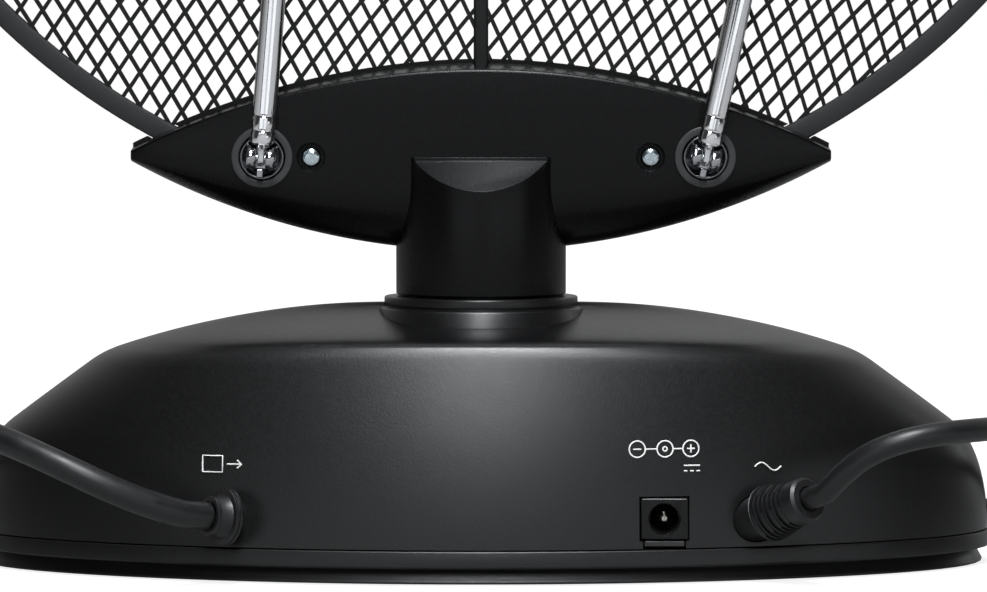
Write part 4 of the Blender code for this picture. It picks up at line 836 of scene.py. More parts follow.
def make_floor():
    """A floor that is white to the eye, a little greyer near the object, and faint in what mirrors it."""
    half = FLOOR_HALF
    corners = [(-half, -half, 0), (half, -half, 0), (half, half, 0), (-half, half, 0)]
    floor = from_faces("floor", corners, [(0, 1, 2, 3)])
    made = bpy.data.materials.new("floor_white")
    made.use_nodes = True
    tree = made.node_tree
    tree.nodes.remove(tree.nodes["Principled BSDF"])
    output = tree.nodes["Material Output"]
    diffuse = add_node(made, "ShaderNodeBsdfDiffuse", Color=(FLOOR_COLOUR, FLOOR_COLOUR, FLOOR_COLOUR, 1.0))
    glow = add_node(made, "ShaderNodeEmission", Color=WHITE)
    path, seen = seen_directly(made)
    place = add_node(made, "ShaderNodeTexCoord")
    away = add_node(made, "ShaderNodeVectorMath")
    away.operation = "LENGTH"
    wire(made, place, "Object", away, 0)
    white = add_node(
        made, "ShaderNodeMapRange", From_Min=FLOOR_NEAR, From_Max=FLOOR_FAR, To_Min=FLOOR_GLOW, To_Max=1.0
    )
    wire(made, away, "Value", white, "Value")
    level = combine(made, "MULTIPLY", (seen, 0), (white, 0))
    mirrored = combine(made, "MULTIPLY_ADD", (path, "Is Glossy Ray"))
    mirrored.inputs[1].default_value = FLOOR_IN_GLOSS
    wire(made, level, 0, mirrored, 2)
    wire(made, mirrored, 0, glow, "Strength")
    both = add_node(made, "ShaderNodeAddShader")
    wire(made, diffuse, 0, both, 0)
    wire(made, glow, 0, both, 1)
    wire(made, both, 0, output, "Surface")
    floor.data.materials.append(made)


def make_lamp(name, place, target, size, power):
    lamp = bpy.data.lights.new(name, "AREA")
    lamp.shape = "RECTANGLE"
    lamp.size, lamp.size_y = size
    lamp.energy = power
    lamp.color = LAMP_COLOUR
    obj = bpy.data.objects.new(name, lamp)
    obj.location = place
    obj.rotation_euler = (Vector(target) - Vector(place)).to_track_quat("-Z", "Y").to_euler()
    bpy.context.scene.collection.objects.link(obj)


def make_lights():
    for name, place, aim, size, power in LAMPS:
        make_lamp(name, place, aim, size, power)


# Base

def face_at(height):
    """Distance of the sloped and slightly bowed rear face from the middle of the base."""
    up = max(height - SEAM_HEIGHT, 0.0)
    share = up / WALL_SPAN
    return BASE_REAR - up * math.tan(REAR_DRAFT) + 4 * WALL_BOW * share * (1 - share)


def wall_y(x, height):
    """The rear face of the base at this place, as a distance from the middle."""
    sagitta = REAR_RADIUS - math.sqrt(REAR_RADIUS**2 - x * x)
    return face_at(height) - sagitta


def on_wall(x, height):
    return Vector((x, -wall_y(x, height), height))


def base_profile():
    """(half width, height) up the side of the base, at even steps and with its corners eased."""
    foot = (BASE_HALF_WIDTH, HOUSING_BOTTOM)
    crown = (CROWN_HALF_WIDTH, CROWN_HEIGHT)
    bulge = (foot[0], (foot[1] + 2 * END_PLACE[1]) / 3)
    swell = ((SHOULDER_PLACE[0] + crown[0]) / 2, crown[1])
    side = bend(foot, bulge, END_PLACE, SIDE_SHARES)
    dome = bend(SHOULDER_PLACE, swell, crown, DOME_SHARES)
    even = evenly([foot, *side, SHOULDER_PLACE, *dome], PROFILE_STEP)
    eased = even.copy()
    for i in range(1, len(even) - 1):
        reach = min(PROFILE_EASE, i, len(even) - 1 - i)
        eased[i] = even[i - reach:i + reach + 1].mean(axis=0)
    return [tuple(p) for p in eased]


def base_outline(half_width, height, inset=0.0, count=OUTLINE_POINTS):
    """Plan of the base at one height: an ellipse held between the curved rear and front faces."""
    dome = smoothstep(min(max(height - DOME_START, 0.0) / (CROWN_HEIGHT - DOME_START), 1.0))
    depth = half_width * (BASE_DEPTH_SHARE + (DOME_DEPTH_SHARE - BASE_DEPTH_SHARE) * dome)
    face = face_at(height) - inset
    middle = REAR_RADIUS - face
    points = []
    for angle in np.linspace(0, 2 * math.pi, count, endpoint=False):
        c = math.cos(angle)
        s = math.sin(angle)
        on_ellipse = 1 / math.hypot(c / half_width, s / depth)
        on_face = math.sqrt(REAR_RADIUS**2 - (middle * c) ** 2) - abs(s) * middle
        longer = max(on_ellipse, on_face)
        shorter = min(on_ellipse, on_face)
        reach = shorter * (1 + (shorter / longer) ** CREASE_POWER) ** (-1 / CREASE_POWER)
        points.append(Vector((reach * c, reach * s, height)))
    return points


def through(seat, axis):
    """Ends of a hole from outside the wall to inside it."""
    reach = 2 * GLAND_SINK
    return seat + axis * reach, seat - axis * reach


def knob_frame():
    face = Vector((0.0, wall_y(0.0, KNOB_Z), KNOB_Z))
    axis = Vector((0.0, math.cos(REAR_DRAFT), math.sin(REAR_DRAFT)))
    return aimed(face, axis)


def make_housing():
    profile = base_profile()
    housing = loft("housing", [base_outline(a, z) for a, z in profile], "black_abs")
    inside = [(a - BASE_WALL, z) for a, z in profile[::HOLLOW_STRIDE] if z < CROWN_HEIGHT - 4 * BASE_WALL]
    inside = [(inside[0][0], HOUSING_BOTTOM - OVERCUT), *inside[1:]]
    hollow = loft("hollow", [base_outline(a, z, 2 * BASE_WALL, HOLLOW_POINTS) for a, z in inside])
    low = COLLAR_TOP - COLLAR_DEPTH
    collar_profile = [
        (0, low),
        (BOSS_FOOT_RADIUS, low),
        (BOSS_FOOT_RADIUS, BOSS_FOOT),
        (BOSS_TOP_RADIUS, BOSS_TOP),
        (COLLAR_RADIUS - GAP, BOSS_TOP + GAP),
        (COLLAR_RADIUS, BOSS_TOP + 2 * GAP),
        (COLLAR_RADIUS, COLLAR_TOP),
        (0, COLLAR_TOP),
    ]
    collar = revolve("collar", rounded(collar_profile, EDGE_ROUND), steps=96)
    carve(housing, "UNION", collar)
    bore = bar("collar_bore", SPIGOT_RADIUS + GAP, (0, 0, low - COLLAR_DEPTH), (0, 0, COLLAR_TOP + OVERCUT))
    half = Vector((JACK_WIDTH / 2 + GAP, JACK_DEPTH, JACK_HEIGHT / 2 + GAP))
    jack_middle = on_wall(JACK_X, JACK_Z)
    window = box_between("jack_window", jack_middle - half, jack_middle + half)
    tab_half = JACK_TAB_WIDTH / 2 + GAP
    tab_low = jack_middle + Vector((-tab_half, -JACK_DEPTH, HOUSING_BOTTOM - JACK_Z - OVERCUT))
    tab_window = box_between("tab_window", tab_low, jack_middle + Vector((tab_half, JACK_TAB_ROOM, 0)))
    gland_hole = bar("gland_hole", GLAND_NECK_RADIUS + GAP, *gland_neck_ends())
    relief_ends = through(on_wall(RELIEF_X, LEAD_Z), RELIEF_AXIS)
    relief_hole = bar("relief_hole", RELIEF_END_RADIUS + GAP, *relief_ends)
    led_seat = Vector((LED_X, wall_y(LED_X, KNOB_Z), KNOB_Z))
    led_hole = bar("led_hole", LED_RADIUS + GAP, *through(led_seat, Vector((0, 1, 0))))
    carve(housing, "DIFFERENCE", hollow, bore, window, tab_window, gland_hole, relief_hole, led_hole)
    settle(housing, "base", "black_abs", "base_housing")


def make_plate():
    wide = BASE_HALF_WIDTH + PLATE_PROUD
    band = PLATE_TOP - PLATE_BAND
    levels = [
        (3 * PLATE_UNDERCUT, PLATE_BOTTOM),
        (PLATE_UNDERCUT + SKIRT_WIDTH, PLATE_BOTTOM),
        (PLATE_UNDERCUT + SKIRT_WIDTH, SKIRT_FOOT),
        (PLATE_UNDERCUT - SKIRT_LIP, SKIRT_FOOT),
        (PLATE_UNDERCUT - SKIRT_LIP, SKIRT_FOOT + SKIRT_LIP),
        (PLATE_UNDERCUT + PLATE_RECESS * PLATE_RECESS_SHARE, band - PLATE_RECESS / 4),
        (0.0, band),
        (PLATE_LEAN, PLATE_TOP),
        (2 * PLATE_PROUD, PLATE_TOP),
    ]
    eased = rounded(levels, PLATE_ROUND)
    outlines = [base_outline(wide - inset, z, inset - PLATE_PROUD) for inset, z in eased]
    plate = loft("plate", outlines, "black_abs")
    rim = PLATE_UNDERCUT + BASE_WALL
    heights = (PLATE_FLOOR, PLATE_TOP + OVERCUT)
    inside = [base_outline(wide - rim, z, rim - PLATE_PROUD, POCKET_POINTS) for z in heights]
    pocket = loft("plate_pocket", inside)
    wells = []
    for i, x in enumerate(SCREW_XS):
        sink = PLATE_BOTTOM + SCREW_HEAD_HEIGHT + GAP
        wells.append(bar(f"well_{i}", SCREW_HEAD_RADIUS + 2 * GAP, (x, 0, 0), (x, 0, sink)))
    carve(plate, "DIFFERENCE", pocket, *wells)
    settle(plate, "base", "black_abs", "base_plate")


def corners(place):
    x, y = place
    return [(x, y), (-x, y), (-x, -y), (x, -y)]


def make_feet():
    top = PLATE_BOTTOM - GAP
    dish = FOOT_RADIUS * FOOT_DISH_SHARE
    profile = [
        (0, top),
        (FOOT_RADIUS, top),
        (FOOT_RADIUS * FOOT_TAPER, 0),
        (dish, 0),
        (dish * FOOT_TAPER, FOOT_DISH_DEPTH),
        (0, FOOT_DISH_DEPTH),
    ]
    eased = rounded(profile, EDGE_ROUND)
    for i, (x, y) in enumerate(corners(FOOT_PLACE)):
        foot = revolve(f"rubber_foot_{i + 1}", eased, "rubber", Matrix.Translation((x, y, 0)))
        settle(foot, "base", "rubber", f"foot_{i + 1}")


def cross_screw(name, radius, height, shank, place):
    """A pan-head screw with a cross recess. Its head stands on the Z plane, and its shank goes down."""
    profile = scaled(SCREW_HEAD_SHARES, radius, height)
    profile += [(SCREW_SHANK_RADIUS, 0), (SCREW_SHANK_RADIUS, -shank), (0, -shank)]
    screw = revolve(name, rounded(profile, PIN_ROUND), "zinc", steps=40)
    long, thin, foot = SCREW_BLADE_SHARES
    low = (-radius * long, -radius * thin, height * foot)
    high = (radius * long, radius * thin, height * 2)
    blades = []
    for turn in (SCREW_TURN, SCREW_TURN + math.pi / 2):
        blade = box_between(f"{name}_blade", low, high)
        blade.matrix_world = Matrix.Rotation(turn, 4, "Z")
        blades.append(blade)
    wide, deep = SCREW_PIT_SHARES
    pit = revolve(f"{name}_pit", [(0, height * deep), (radius * wide, height * 2), (0, height * 2)], steps=24)
    carve(screw, "DIFFERENCE", *blades, pit)
    screw.matrix_world = place
    return screw


def make_plate_screws():
    for i, x in enumerate(SCREW_XS):
        flip = Matrix.Rotation(math.pi, 4, "X")
        place = Matrix.Translation((x, 0, PLATE_BOTTOM + SCREW_HEAD_HEIGHT)) @ flip
        name = f"plate_cross_screw_{i + 1}"
        screw = cross_screw(name, SCREW_HEAD_RADIUS, SCREW_HEAD_HEIGHT, PLATE_SCREW_SHANK, place)
        settle(screw, "base", "zinc", f"plate_screw_{i + 1}")


def make_jack():
    face = -wall_y(JACK_X, JACK_Z) - GAP
    half_width = JACK_WIDTH / 2
    half_height = JACK_HEIGHT / 2
    low = (JACK_X - half_width, face, JACK_Z - half_height)
    high = (JACK_X + half_width, face + JACK_DEPTH, JACK_Z + half_height)
    jack = soften(box_between("barrel_jack", low, high, "gloss_abs"), END_ROUND)
    place = aimed((JACK_X, face, JACK_Z), (0, 1, 0))
    edge = JACK_BORE + JACK_MOUTH_EDGE
    mouth_rows = [(0, -OVERCUT), (edge, -OVERCUT), (edge, 0), (JACK_BORE, JACK_MOUTH_DEPTH)]
    mouth_rows += [(JACK_BORE, JACK_BORE_DEPTH), (0, JACK_BORE_DEPTH)]
    carve(jack, "DIFFERENCE", revolve("jack_mouth", mouth_rows, None, place, 48))
    settle(jack, "base", "black_abs", "dc_jack")
    tab_front, tab_back = JACK_TAB_FACES
    low = (JACK_X - JACK_TAB_WIDTH / 2, face + tab_front, HOUSING_BOTTOM + GAP)
    high = (JACK_X + JACK_TAB_WIDTH / 2, face + tab_back, JACK_Z - half_height - GAP)
    settle(soften(box_between("jack_tab", low, high, "socket_grey"), SMALL_ROUND), "base")
    front, shoulder, back = JACK_PIN_HEIGHTS
    pin_rows = [(0, front), (JACK_PIN_POINT, front), (JACK_PIN_RADIUS, shoulder)]
    pin_rows += [(JACK_PIN_RADIUS, back), (0, back)]
    pin = revolve("barrel_jack_pin", rounded(pin_rows, PIN_ROUND), "nickel", place, 24)
    half_slot, tall, deep = JACK_PIN_SLOT
    slot = box_between("pin_slot", (-half_slot, -tall, 0), (half_slot, tall, deep))
    slot.matrix_world = place
    carve(pin, "DIFFERENCE", slot)
    settle(pin, "base", "brass", "dc_jack_pin")


def make_knob():
    foot = 2 * GAP
    top = foot + KNOB_LENGTH

    def fluted(share):
        radius = KNOB_RADIUS * share
        return lambda angle: radius - KNOB_FLUTE_DEPTH * (1 + math.cos(KNOB_FLUTES * angle)) / 2

    bore_top = foot + KNOB_BORE_SHARE * KNOB_LENGTH
    rows = [(KNOB_RADIUS * share, top - drop) for share, drop in KNOB_FACE]
    rows += [
        (fluted(KNOB_FLUTE_TOP[0]), top - KNOB_FLUTE_TOP[1]),
        (fluted(KNOB_FLUTE_FOOT[0]), foot + KNOB_FLUTE_FOOT[1]),
        (KNOB_RADIUS, foot + KNOB_SKIRT),
        (KNOB_RADIUS, foot),
        (KNOB_BORE, foot),
        (KNOB_BORE, bore_top),
        (0, bore_top),
    ]
    knob = revolve("fluted_knob", rows, "black_abs", knob_frame(), KNOB_FLUTES * 8)
    settle(knob, "gain_knob", "black_abs", "gain_knob")
    low, high = zip((-KNOB_MARK_HALF, KNOB_MARK_HALF), KNOB_MARK_SPAN, (top - d for d in KNOB_MARK_DROPS))
    mark = soften(box_between("knob_pointer", low, high, "ink_white"), KNOB_MARK_ROUND)
    mark.matrix_world = knob_frame()
    settle(mark, "gain_knob")


def make_indicator():
    place = aimed((LED_X, wall_y(LED_X, KNOB_Z) + LED_PROUD - LED_LENGTH, KNOB_Z), (0, 1, 0))
    rows = [(0, 0), (LED_RADIUS, 0)]
    for a in np.linspace(0, math.pi / 2, 8)[:-1]:
        rows.append((LED_RADIUS * math.cos(a), LED_LENGTH - LED_RADIUS * (1 - math.sin(a))))
    rows.append((0, LED_LENGTH))
    lamp = revolve("indicator_lens", rows, "lens_red", place, 32)
    settle(lamp, "base", "lens_red", "power_led")


def dress_hidden_nodes():
    """Finishes for the nodes that stay as they are, inside the base and the head."""
    finishes = {
        "gain_control": "core_steel",
        "gain_shaft": "zinc",
        "transformer_core": "core_steel",
        "transformer_winding": "copper",
        "amplifier_board": "board_green",
        "feed_cable": "pvc_black",
        "swivel_spigot": "black_abs",
        "swivel_retainer": "zinc",
    }
    for node, finish in finishes.items():
        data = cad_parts[node].data
        data.materials.clear()
        data.materials.append(MATERIALS[finish])


# Printed marks on the rear face

def ink(name, lines):
    """Thin raised lines on the rear face, each a list of (x, height) points."""
    runs = [[on_wall(x, z) for x, z in line] for line in lines]
    settle(new_curve(name, INK_RADIUS, INK_RESOLUTION, runs, "ink_white"), "base")


def ring_line(x, z, radius, count=25):
    angles = np.linspace(0, 2 * math.pi, count)
    return [(x + radius * math.cos(a), z + radius * math.sin(a)) for a in angles]


def make_marks():
    """Generic signs by the sockets: polarity, direct and alternating current, an arrow out of a screen."""
    z = POLARITY_Z
    middle, last = POLARITY_XS[1:]
    polarity = [ring_line(x, z, POLARITY_RING) for x in POLARITY_XS]
    polarity += [[(start, z), (end, z)] for start, end in POLARITY_LINES]
    polarity.append([(last, z - POLARITY_STROKE), (last, z + POLARITY_STROKE)])
    polarity.append(ring_line(middle, z, POLARITY_DOT, count=9))
    ink("polarity_sign", polarity)
    z = CURRENT_Z
    direct = [[(x, z + DIRECT_RISE) for x in DIRECT_SPAN]]
    direct += [[(x, z - DIRECT_RISE), (x + DIRECT_DASH, z - DIRECT_RISE)] for x in DIRECT_DASHES]
    ink("direct_current_sign", direct)
    wave = []
    for t in np.linspace(0, 1, 21):
        wave.append((WAVE_START + WAVE_LENGTH * t, z + WAVE_RISE * math.sin(2 * math.pi * t)))
    ink("alternating_current_sign", [wave])
    left, right = SCREEN_SIDES
    low, high = (SCREEN_Z + edge for edge in SCREEN_EDGES)
    screen = [(left, low), (right, low), (right, high), (left, high), (left, low)]
    tail, barb, tip = ARROW_XS
    z = SCREEN_Z + ARROW_MIDDLE
    upper, lower = (SCREEN_Z + rise for rise in ARROW_BARBS)
    ink("screen_sign", [screen, [(tail, z), (tip, z)], [(barb, upper), (tip, z), (barb, lower)]])


# Head

def arc_height(x, radius, centre, above):
    return centre + (1 if above else -1) * math.sqrt(radius**2 - x * x)


def head_section(x):
    """(y, z) outline of the rear half of the crescent at x, from the split plane round to the slot."""
    share = abs(x) / HEAD_HALF_WIDTH
    depth = HEAD_DEPTH + (HEAD_TIP_DEPTH - HEAD_DEPTH) * share**HEAD_TIP_TAPER
    low = arc_height(x, HEAD_LOWER_RADIUS, DISC_CENTRE_Z, False)
    high = arc_height(x, HEAD_UPPER_RADIUS, HEAD_TOP - HEAD_UPPER_RADIUS, True)
    tall = max(high - low, HEAD_TIP_HEIGHT)
    rounding = HEAD_ROUNDING_SHARE * tall
    rear = -SPLIT_Y - depth
    section = []
    for angle in np.linspace(0, math.pi / 2, 12):
        section.append((-SPLIT_Y - depth * math.sin(angle), low + rounding * (1 - math.cos(angle))))
    top = low + tall + HEAD_LEDGE * (1 - HEAD_LEDGE_TAPER * share)
    lip = -SPLIT_Y - HEAD_LIP_DEPTH
    section += eased_corner(section[-1], (rear, low + tall), (lip, top - HEAD_LIP_HEIGHT), HEAD_EDGE_ROUND)
    section += [(lip, top - HEAD_LIP_HEIGHT), (lip, top), (-SPLIT_Y, top)]
    return section


def crescent(name, facing, finish):
    sections = []
    for angle in np.linspace(-math.pi / 2, math.pi / 2, HEAD_SECTIONS):
        x = HEAD_HALF_WIDTH * math.sin(angle)
        sections.append([Vector((x, facing * y, z)) for y, z in head_section(x)])
    return loft(name, sections, finish, HEAD_CREASE)


def neck_half(name, facing):
    """Half of the neck, cut off at its top by a slanted facet."""
    split = math.asin(GAP / 2 / NECK_RADIUS)
    angles = np.linspace(-split, split - math.pi, NECK_POINTS)
    levels = [
        (NECK_RADIUS - NECK_EDGE, NECK_BOTTOM),
        (NECK_RADIUS, NECK_BOTTOM + NECK_EDGE),
        (NECK_RADIUS, NECK_FACET_TOP),
    ]
    sections = [
        [Vector((r * math.cos(a), facing * r * math.sin(a), z)) for a in angles]
        for r, z in levels
    ]
    neck = loft(name, sections)
    step = HEAD_REAR_Y - NECK_STEP
    start = NECK_FACET_TOP - NECK_DROP
    slope = (start - NECK_FACET_BOTTOM) / (NECK_RADIUS + step)
    past = -NECK_RADIUS - OVERCUT
    lid = NECK_FACET_TOP + OVERCUT
    wedge = [
        (step, start),
        (past, start + slope * (past - step)),
        (past, lid),
        (step, lid),
    ]
    sides = (-2 * NECK_RADIUS, 2 * NECK_RADIUS)
    facet = slab(f"{name}_facet", [(facing * y, z) for y, z in wedge], sides, "x")
    return soften(carve(neck, "DIFFERENCE", facet), EDGE_ROUND, 3, 25, harden=False)


def disc_frame():
    """The disc's own frame: its Z axis points forward along +Y."""
    return Matrix.Translation((0, 0, DISC_CENTRE_Z)) @ Matrix.Rotation(-math.pi / 2, 4, "X")


def head_shell(name, facing):
    shell = crescent(name, facing, "head_abs")
    carve(shell, "UNION", neck_half(f"{name}_neck", facing))
    bore_ends = (0, 0, NECK_BOTTOM + NECK_BORE_FOOT), (0, 0, NECK_BORE_TOP)
    bore = bar(f"{name}_bore", NECK_RADIUS - NECK_WALL, *bore_ends, steps=64)
    lip_ends = (0, 0, COLLAR_TOP - OVERCUT), (0, 0, NECK_BOTTOM + NECK_LIP)
    lip = bar(f"{name}_lip", SPIGOT_RADIUS + GAP, *lip_ends, steps=64)
    inner = DISC_RADIUS - RIM_WIDTH - GAP
    deep = RIM_DEPTH / 2 + GAP
    ring = ring_rows(DISC_RADIUS + GAP, inner, -deep, deep)
    room = revolve(f"{name}_rim_room", ring, None, disc_frame(), RING_STEPS, closed=True)
    return carve(shell, "DIFFERENCE", bore, lip, room)


def rear_shell_tools():
    """What is cut out of the rear shell: the forks' sockets, the screws' wells and the mast's notch."""
    tools = []
    for side, x in PIVOT_X.items():
        ends = (x, HEAD_REAR_Y - SOCKET_OVERCUT, PIVOT_Z), (x, -SPLIT_Y, PIVOT_Z)
        tools.append(bar(f"{side}_socket", FORK_RADIUS + GAP, *ends, steps=64))
    edge = HEAD_WELL + HEAD_WELL_EDGE
    rows = [(0, -OVERCUT), (edge, -OVERCUT), (edge, 0), (HEAD_WELL, HEAD_WELL_EDGE)]
    rows += [(HEAD_WELL, HEAD_SCREW_SINK), (0, HEAD_SCREW_SINK)]
    for x in (-HEAD_SCREW_X, HEAD_SCREW_X):
        tools.append(revolve("screw_well", rows, None, aimed((x, HEAD_REAR_Y, PIVOT_Z), (0, 1, 0)), 48))
        seat = (x, HEAD_REAR_Y + HEAD_SCREW_SINK - OVERCUT, PIVOT_Z)
        tools.append(bar("screw_hole", SCREW_HOLE_RADIUS, seat, (x, 0, PIVOT_Z), steps=24))
    notch = MAST_WIDTH / 2 + GAP
    back = -(SPLIT_Y + MAST_DEPTH) - GAP
    top = HEAD_TOP + HEAD_LEDGE + OVERCUT
    tools.append(box_between("mast_notch", (-notch, back, MAST_FOOT - GAP), (notch, 0, top)))
    return tools


def make_head():
    rear = head_shell("rear_shell", 1)
    carve(rear, "DIFFERENCE", *rear_shell_tools(), crease=HEAD_CREASE)
    settle(rear, "head", "black_abs", "head_rear_shell")
    settle(head_shell("front_shell", -1), "head", "black_abs", "head_front_shell")
    rows = ring_rows(SOCKET_RING_RADIUS, FORK_RADIUS + GAP, -SOCKET_RING_SINK, SOCKET_RING_PROUD)
    rows = rounded(rows, SMALL_ROUND, closed=True)
    for side, x in PIVOT_X.items():
        place = aimed((x, HEAD_REAR_Y, PIVOT_Z), (0, -1, 0))
        ring = revolve(f"{side}_socket_ring", rows, "socket_grey", place, 64, closed=True)
        settle(ring, "head", "black_abs")
    for word, x in (("left", -HEAD_SCREW_X), ("right", HEAD_SCREW_X)):
        place = aimed((x, HEAD_REAR_Y + HEAD_SCREW_SINK - GAP, PIVOT_Z), (0, -1, 0))
        name = f"head_cross_screw_{word}"
        screw = cross_screw(name, HEAD_SCREW_HEAD, SCREW_HEAD_HEIGHT, HEAD_SCREW_SHANK, place)
        settle(screw, "head", "zinc", f"head_screw_{word}")


# Reflector

def make_rim():
    half = RIM_DEPTH / 2
    inner = DISC_RADIUS - RIM_WIDTH
    groove = inner + RIM_GROOVE
    slot = MESH_THICKNESS / 2 + GAP
    profile = [
        (DISC_RADIUS, half),
        (DISC_RADIUS, -half),
        (inner, -half),
        (inner, -slot),
        (groove, -slot),
        (groove, slot),
        (inner, slot),
        (inner, half),
    ]
    eased = rounded(profile, RIM_ROUND, closed=True, count=4)
    rim = revolve("rim", eased, "rim_grey", disc_frame(), RING_STEPS, closed=True)
    settle(rim, "head", "rim_grey", "reflector_rim")


def fanned(place):
    """The columns of the net fan out upwards low in the disc, whose own Y axis points down."""
    above = -place.y - MESH_FAN_FOOT
    shift = MESH_FAN_REACH * math.tanh(above / MESH_FAN_REACH) * MESH_FAN * place.x
    return Vector((place.x + shift, place.y))


def net_bonds(reach):
    """The places where strands of the net meet, as {(column, row): place}, in the disc's plane."""
    half_short = MESH_SHORT / 2
    half_long = MESH_LONG / 2
    turn = Matrix.Rotation(MESH_TURN, 2)
    columns = int(reach / half_short) + 2
    rows = int(reach / half_long) + 2
    bonds = {}
    for i in range(-columns, columns + 1):
        for j in range(-rows, rows + 1):
            if (i + j) % 2 == 0:
                place = fanned(turn @ Vector((i * half_short, j * half_long)))
                if place.length < reach:
                    bonds[i, j] = place
    return bonds


def make_net():
    """Expanded metal: a bond at each crossing, and from it a raised strand up to each side."""
    outer = DISC_RADIUS - RIM_WIDTH + RIM_GROOVE - GAP
    bonds = net_bonds(outer + MESH_LONG)
    turn = Matrix.Rotation(MESH_TURN, 2)
    offsets = [(0, BOND_HALF_LONG), (BOND_HALF_SHORT, 0), (0, -BOND_HALF_LONG), (-BOND_HALF_SHORT, 0)]
    offsets = [turn @ Vector(o) for o in offsets]
    raised = (-MESH_RAISE, MESH_RAISE, -MESH_RAISE, MESH_RAISE)
    flat = []
    start = {}
    for key, place in bonds.items():
        start[key] = len(flat)
        flat += [(*(place + offset), lift) for offset, lift in zip(offsets, raised)]
    faces = []
    for (i, j), a in start.items():
        faces.append((a, a + 3, a + 2, a + 1))
        right = start.get((i + 1, j + 1))
        if right is not None:
            faces.append((a, a + 1, right + 2, right + 3))
        left = start.get((i - 1, j + 1))
        if left is not None:
            faces.append((a + 3, a, left + 1, left + 2))
    count = len(flat)
    half = MESH_SHEET / 2
    points = [(x, y, z + half) for x, y, z in flat] + [(x, y, z - half) for x, y, z in flat]
    border = {}
    for face in faces:
        for a, b in zip(face, face[1:] + face[:1]):
            if border.pop((b, a), None) is None:
                border[a, b] = True
    walls = [(b, a, a + count, b + count) for a, b in border]
    backs = [tuple(p + count for p in reversed(face)) for face in faces]
    net = from_faces("expanded_net", points, faces + backs + walls, "black_paint", MESH_CREASE)
    net.matrix_world = disc_frame()
    carve(net, "INTERSECT", net_outline(outer), crease=MESH_CREASE)
    settle(net, "head", "black_paint", "reflector_mesh")


def net_outline(outer):
    """The outline of the net in the disc's plane: round, and hollowed below along the head's top edge."""
    drop = DISC_CENTRE_Z - HEAD_TOP + HEAD_UPPER_RADIUS
    lower = HEAD_UPPER_RADIUS - MESH_LAP
    meet_y = (outer**2 - lower**2 + drop**2) / (2 * drop)
    meet_x = math.sqrt(outer**2 - meet_y**2)
    start = math.atan2(meet_y, meet_x)
    reach = math.atan2(meet_x, drop - meet_y)
    line = []
    for a in np.linspace(start, -math.pi - start, RING_STEPS):
        line.append((outer * math.cos(a), outer * math.sin(a)))
    for a in np.linspace(-math.pi / 2 - reach, -math.pi / 2 + reach, 60)[1:-1]:
        line.append((lower * math.cos(a), drop + lower * math.sin(a)))
    made = slab("net_outline", line, (-MESH_CUT, MESH_CUT))
    made.matrix_world = disc_frame()
    return made


def make_feed():
    half = MAST_WIDTH / 2
    back = -(SPLIT_Y + MAST_DEPTH)
    section = [(-half, -SPLIT_Y), (-half, back), (half, back), (half, -SPLIT_Y)]
    eased = rounded(section, MAST_ROUND, closed=True)
    mast = slab("feeder_bar", eased, (MAST_FOOT, DISC_CENTRE_Z), "z", "black_paint")
    centre = Vector((0, 0, DISC_CENTRE_Z))
    dish = HUB_REAR_DEPTH - HUB_REAR_DISH
    rows = [(0, dish), (HUB_RADIUS * HUB_REAR_DISH_SHARE, dish)]
    rows += scaled(HUB_REAR_SHARES, HUB_RADIUS, HUB_REAR_DEPTH)
    place = aimed(centre - Vector((0, SPLIT_Y, 0)), (0, -1, 0))
    hub = revolve("rear_hub", rounded(rows, HUB_REAR_ROUND), None, place, 96)
    stub_ends = centre - Vector((0, 2 * SPLIT_Y, 0)), centre + Vector((0, STUB_REACH, 0))
    stub = bar("hub_stub", STUB_RADIUS, *stub_ends, steps=32)
    carve(mast, "UNION", hub, stub)
    settle(mast, "head", "black_paint", "feeder_mast")
    rows = scaled(HUB_FRONT_SHARES, HUB_RADIUS, HUB_FRONT_DEPTH)
    place = aimed(centre + Vector((0, SPLIT_Y, 0)), (0, 1, 0))
    front = revolve("front_hub", rounded(rows, HUB_FRONT_ROUND), "gloss_abs", place, 96)
    ahead = centre + Vector((0, DIPOLE_AHEAD, 0))
    across = Vector((2 * HUB_RADIUS, 0, 0))
    room = bar("dipole_room", DIPOLE_RADIUS + GAP, ahead - across, ahead + across)
    stub_end = centre + Vector((0, STUB_REACH + GAP, 0))
    stub_room = bar("stub_room", STUB_RADIUS + GAP, centre, stub_end, steps=32)
    carve(front, "DIFFERENCE", room, stub_room)
    settle(front, "head", "black_abs", "feed_hub")
    thin = DIPOLE_RADIUS * DIPOLE_THIN_SHARE
    thin_end, thick_start = DIPOLE_SHOULDER
    rows = [(0, 0), (thin, 0), (thin, thin_end), (DIPOLE_RADIUS, thick_start)]
    rows += [(DIPOLE_RADIUS * share, DIPOLE_LENGTH - back) for share, back in DIPOLE_END]
    for word, side in (("left", -1), ("right", 1)):
        place = aimed(ahead + Vector((side * DIPOLE_INNER, 0, 0)), (side, 0, 0))
        arm = revolve(f"dipole_arm_{word}", rounded(rows, END_ROUND), "black_paint", place, 40)
        settle(arm, "head", "black_paint", f"uhf_dipole_{word}")


# Rods

def crimped(radius, depth):
    """A narrow groove pressed into a tube, deeper at four places round it."""
    even = CRIMP_EVEN_SHARE
    return lambda angle: radius - depth * (even + (1 - even) * math.cos(4 * angle))


